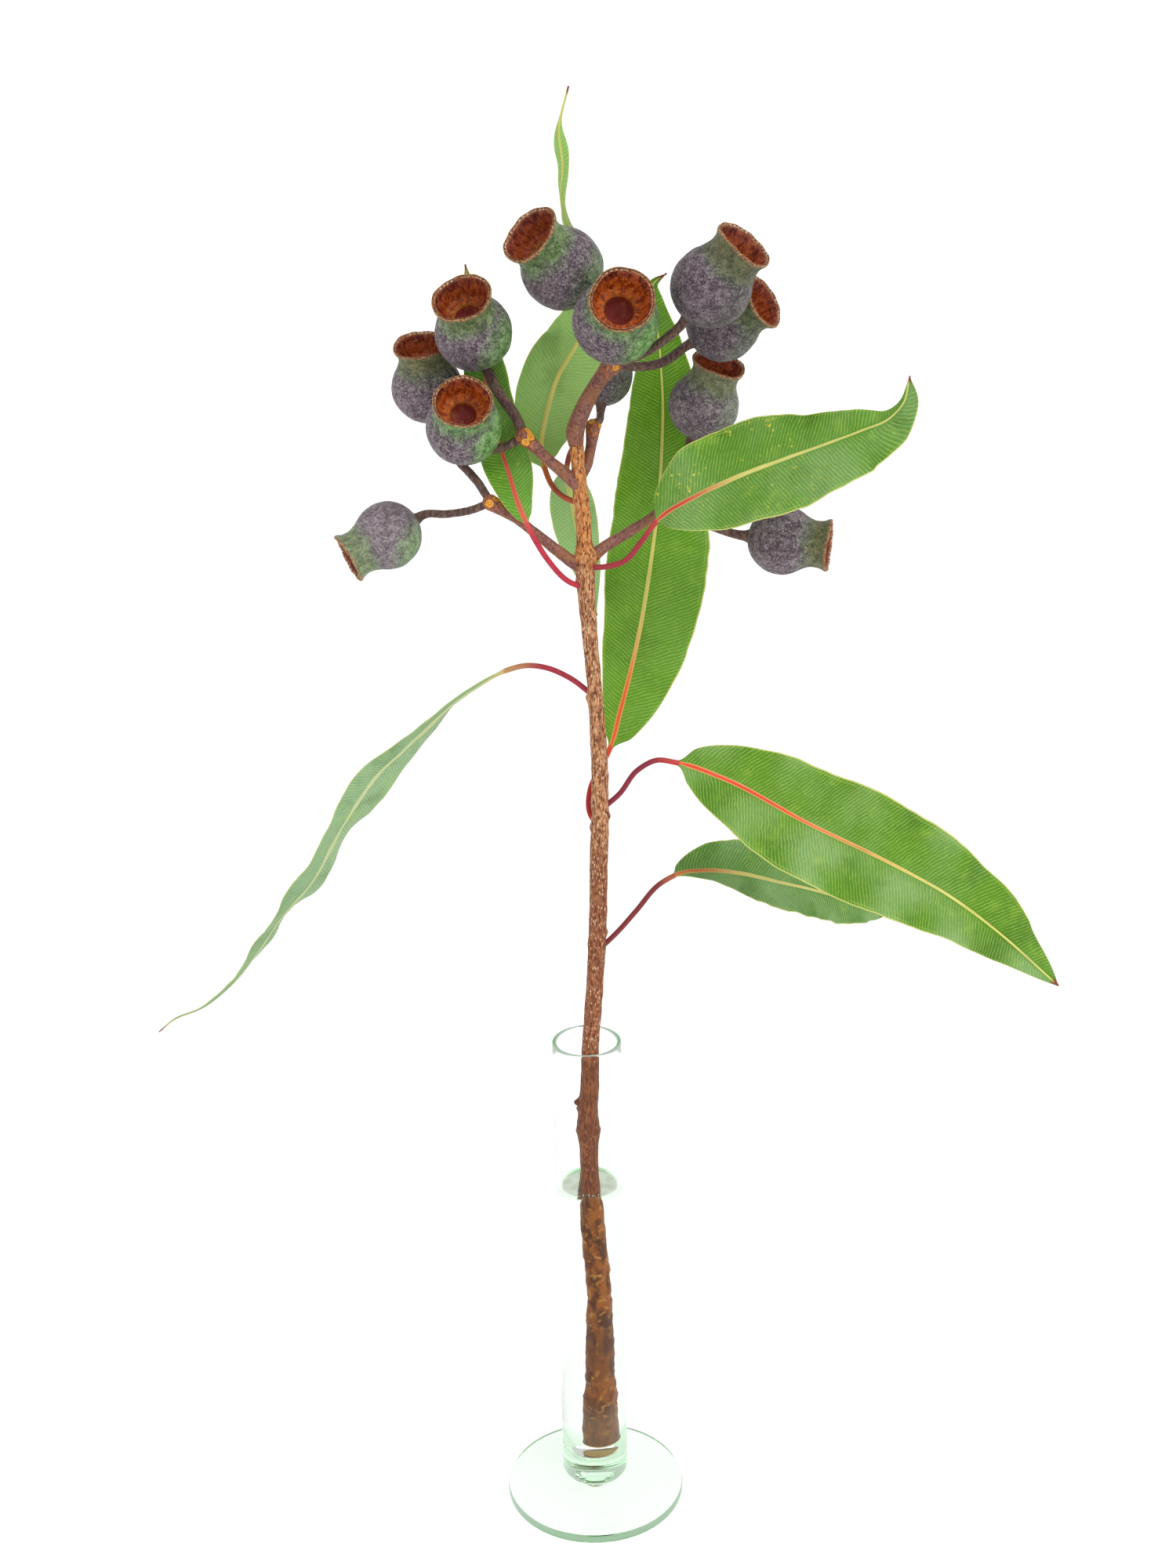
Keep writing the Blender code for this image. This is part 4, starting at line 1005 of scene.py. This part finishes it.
def leaf(shape):
    """A blade with a raised rib and rounded edges, folded and waved, on its petiole."""
    tones = LEAF_LOOKS[shape.name]
    seed = float(shape.name[-2:])
    distances, centres, across, normals, *rest = leaf_sections(shape, Route(shape.midrib))
    distances, share, half, lean = (row[:, None] for row in (distances, *rest))
    centres, across, normals = (rows[:, None, :] for rows in (centres, across, normals))
    t = np.clip(share, 0, 1)
    steps = np.linspace(0, 1, LEAF_HALF_ACROSS + 1) ** 1.5
    steps = np.concatenate([steps[:-1], [0.985, 1.0]])
    parts = np.concatenate([-steps[:0:-1], steps])
    side = np.sign(parts)
    join = smooth_step(t / JOIN)
    blade_x = parts * (half * np.where(parts < 0, 1 - lean, 1 + lean))
    x = (1 - join) * np.sin(parts * math.pi / 2) * PETIOLE_RADIUS + join * blade_x

    # The edge waves as the solid's does
    fraction = blade_x / half
    ripple = shape.wave * np.sin(2 * math.pi * shape.waves * t + 1.3 * side)
    lift = shape.fold * np.abs(fraction) * half + ripple * fraction ** 2 * np.minimum(1.0, half / 6)

    # Broad swells, and small uneven ripples that grow towards the edge
    wide = np.minimum(1, half / 8)
    swell = np.sin(distances / SWELL_LENGTH * 2 * math.pi + 0.9 * side + seed)
    crest = swell * np.abs(parts) ** 1.3 * wide
    lift = lift + SWELLS.get(shape.name, 0.0) * crest
    where = together(distances, 7.0 * side, 3.1 * seed)
    uneven = rough(where, 8.0, seed, 2) * np.abs(parts) ** 2.5 * smooth_step((t - 0.15) / 0.35)
    lift = lift + tones.ripple * 1.3 * uneven * wide
    lift = lift + 0.5 * rough(where + together(0.0, x, 0.0), 14.0, seed + 5, 2) * wide

    # An upper and an under sheet, which meet at the edges
    middle = centres + across * x[..., None] + normals * (join * lift)[..., None]
    round_depth = PETIOLE_RADIUS * np.cos(parts * math.pi / 2)
    blade_depth = BLADE_HALF_THICKNESS * np.sqrt(1 - np.abs(parts) ** 12)
    rib_width = np.minimum(RIB_HALF_WIDTH * (1.25 - 0.75 * t), 0.5 * half)
    rib = np.exp(-(blade_x / rib_width) ** 2) * np.minimum(1.0, half / 4) * (1.1 - 0.75 * t)
    sheets = []
    for up, rib_height in ((1, RIB_UPPER), (-1, RIB_UNDER)):
        depth = (1 - join) * round_depth + join * (blade_depth + rib_height * rib)
        sheets.append(middle + up * normals * depth[..., None])
    grid = np.concatenate([sheets[0], sheets[1][:, -2:0:-1]], axis=1)
    one_face = np.ones(len(parts) - 2)
    faces_up = np.concatenate([[0], one_face, [0], -one_face])
    # The crest also places the painted sheen on the swells and the painted shade in their hollows
    crest = there_and_back(crest) * min(1.0, SWELLS.get(shape.name, 0.0))
    values = {"spot": together(there_and_back(blade_x), distances, share),
              "facts": together(there_and_back(parts), join, faces_up), "crest": crest[..., None]}
    ringed_piece(shape.name + "_blade", grid, values, leaf_look(shape.name), [shape.name])


def bubbles(look):
    """A few small bubbles on the water's surface, against the glass and the stem."""
    rows, count = 10, 16
    tilt = np.linspace(-math.pi / 2 + 0.15, math.pi / 2 - 0.15, rows)[:, None]
    turn = np.arange(count) * 2 * math.pi / count
    ball = together(np.cos(tilt) * np.cos(turn), np.cos(tilt) * np.sin(turn), np.sin(tilt))
    points, faces = [], []
    for x, y, size in BUBBLES:
        middle = np.array((x, y, WATER_LEVEL + 0.35 * size))
        these, those, _ = closed_tube(ball * size + middle, {})
        start = len(points)
        points += list(these)
        faces += [[start + k for k in face] for face in those]
    piece("water_bubbles", np.array(points), faces, look, [])


def floor():
    """A plain white floor that runs on past the view, with far walls."""
    corners = [(-FLOOR_HALF, -FLOOR_HALF), (FLOOR_HALF, -FLOOR_HALF), (FLOOR_HALF, FLOOR_HALF),
               (-FLOOR_HALF, FLOOR_HALF)]
    points = [(x, y, z) for z in (0.0, WALL_HEIGHT) for x, y in corners]
    sides = [((k + 1) % 4, k, k + 4, (k + 1) % 4 + 4) for k in range(4)]
    mesh = bpy.data.meshes.new("floor")
    mesh.from_pydata(points, [], [(0, 1, 2, 3), *sides])
    look = Look("floor")
    look.shader.inputs["Emission Color"].default_value = (1, 1, 1, 1)
    look.shader.inputs["Emission Strength"].default_value = FLOOR_GLOW
    mesh.materials.append(look.finish(FLOOR_GREY, 0.9, specular=0.0))
    made = bpy.data.objects.new("floor", mesh)
    bpy.context.scene.collection.objects.link(made)


def lamp(name, way, strength, softness):
    """A far, soft lamp that stands the way given."""
    data = bpy.data.lights.new(name, "SUN")
    data.energy = strength
    data.angle = math.radians(softness)
    made = bpy.data.objects.new(name, data)
    made.rotation_euler = (-Vector(way)).to_track_quat("-Z", "Y").to_euler()
    bpy.context.scene.collection.objects.link(made)


def light():
    """Soft studio light from all round, a little stronger from the front right and above."""
    world = bpy.data.worlds.new("studio")
    world.use_nodes = True
    world.node_tree.nodes["Background"].inputs[0].default_value = (1, 1, 1, 1)
    world.node_tree.nodes["Background"].inputs[1].default_value = WORLD_LIGHT
    bpy.context.scene.world = world
    for given in LAMPS:
        lamp(*given)


def camera():
    """The photograph's own viewpoint, looking slightly down."""
    up = Vector((0, math.sin(PITCH), math.cos(PITCH)))
    ahead = Vector((0, math.cos(PITCH), -math.sin(PITCH)))
    right = Vector((math.cos(ROLL), 0, 0)) - math.sin(ROLL) * up
    up = Vector((math.sin(ROLL), 0, 0)) + math.cos(ROLL) * up
    data = bpy.data.cameras.new("view")
    data.sensor_fit = "VERTICAL"
    data.sensor_height = SENSOR
    data.lens = FOCAL_PIXELS / IMAGE_HEIGHT * SENSOR
    data.clip_start = 0.01
    data.clip_end = 300
    made = bpy.data.objects.new("view", data)
    turn = Matrix((right, up, -ahead)).transposed()
    made.matrix_world = Matrix.Translation(Vector(CAMERA_PLACE) * MM) @ turn.to_4x4()
    bpy.context.scene.collection.objects.link(made)
    bpy.context.scene.camera = made


def main():
    camera()
    light()
    floor()
    vase(clear_look("clear_glass", GLASS_TINT, 1.5, GLASS_DENSITY))
    water(clear_look("clear_water", WATER_TINT, 1.33, reflection_greys=WATER_REFLECTION_GREYS))
    bubbles(clear_look("bubble_skin", BUBBLE_TINT, 1.4))
    stem(bark_look())
    knobs = stalk_look()
    for name, given, scars in STALKS:
        stalk(name, given, scars, knobs)
    for given in NUTS:
        gumnut(*given)
    for given in LEAVES:
        leaf(LeafShape(*given))
    bpy.context.scene.view_settings.view_transform = "Standard"


main()
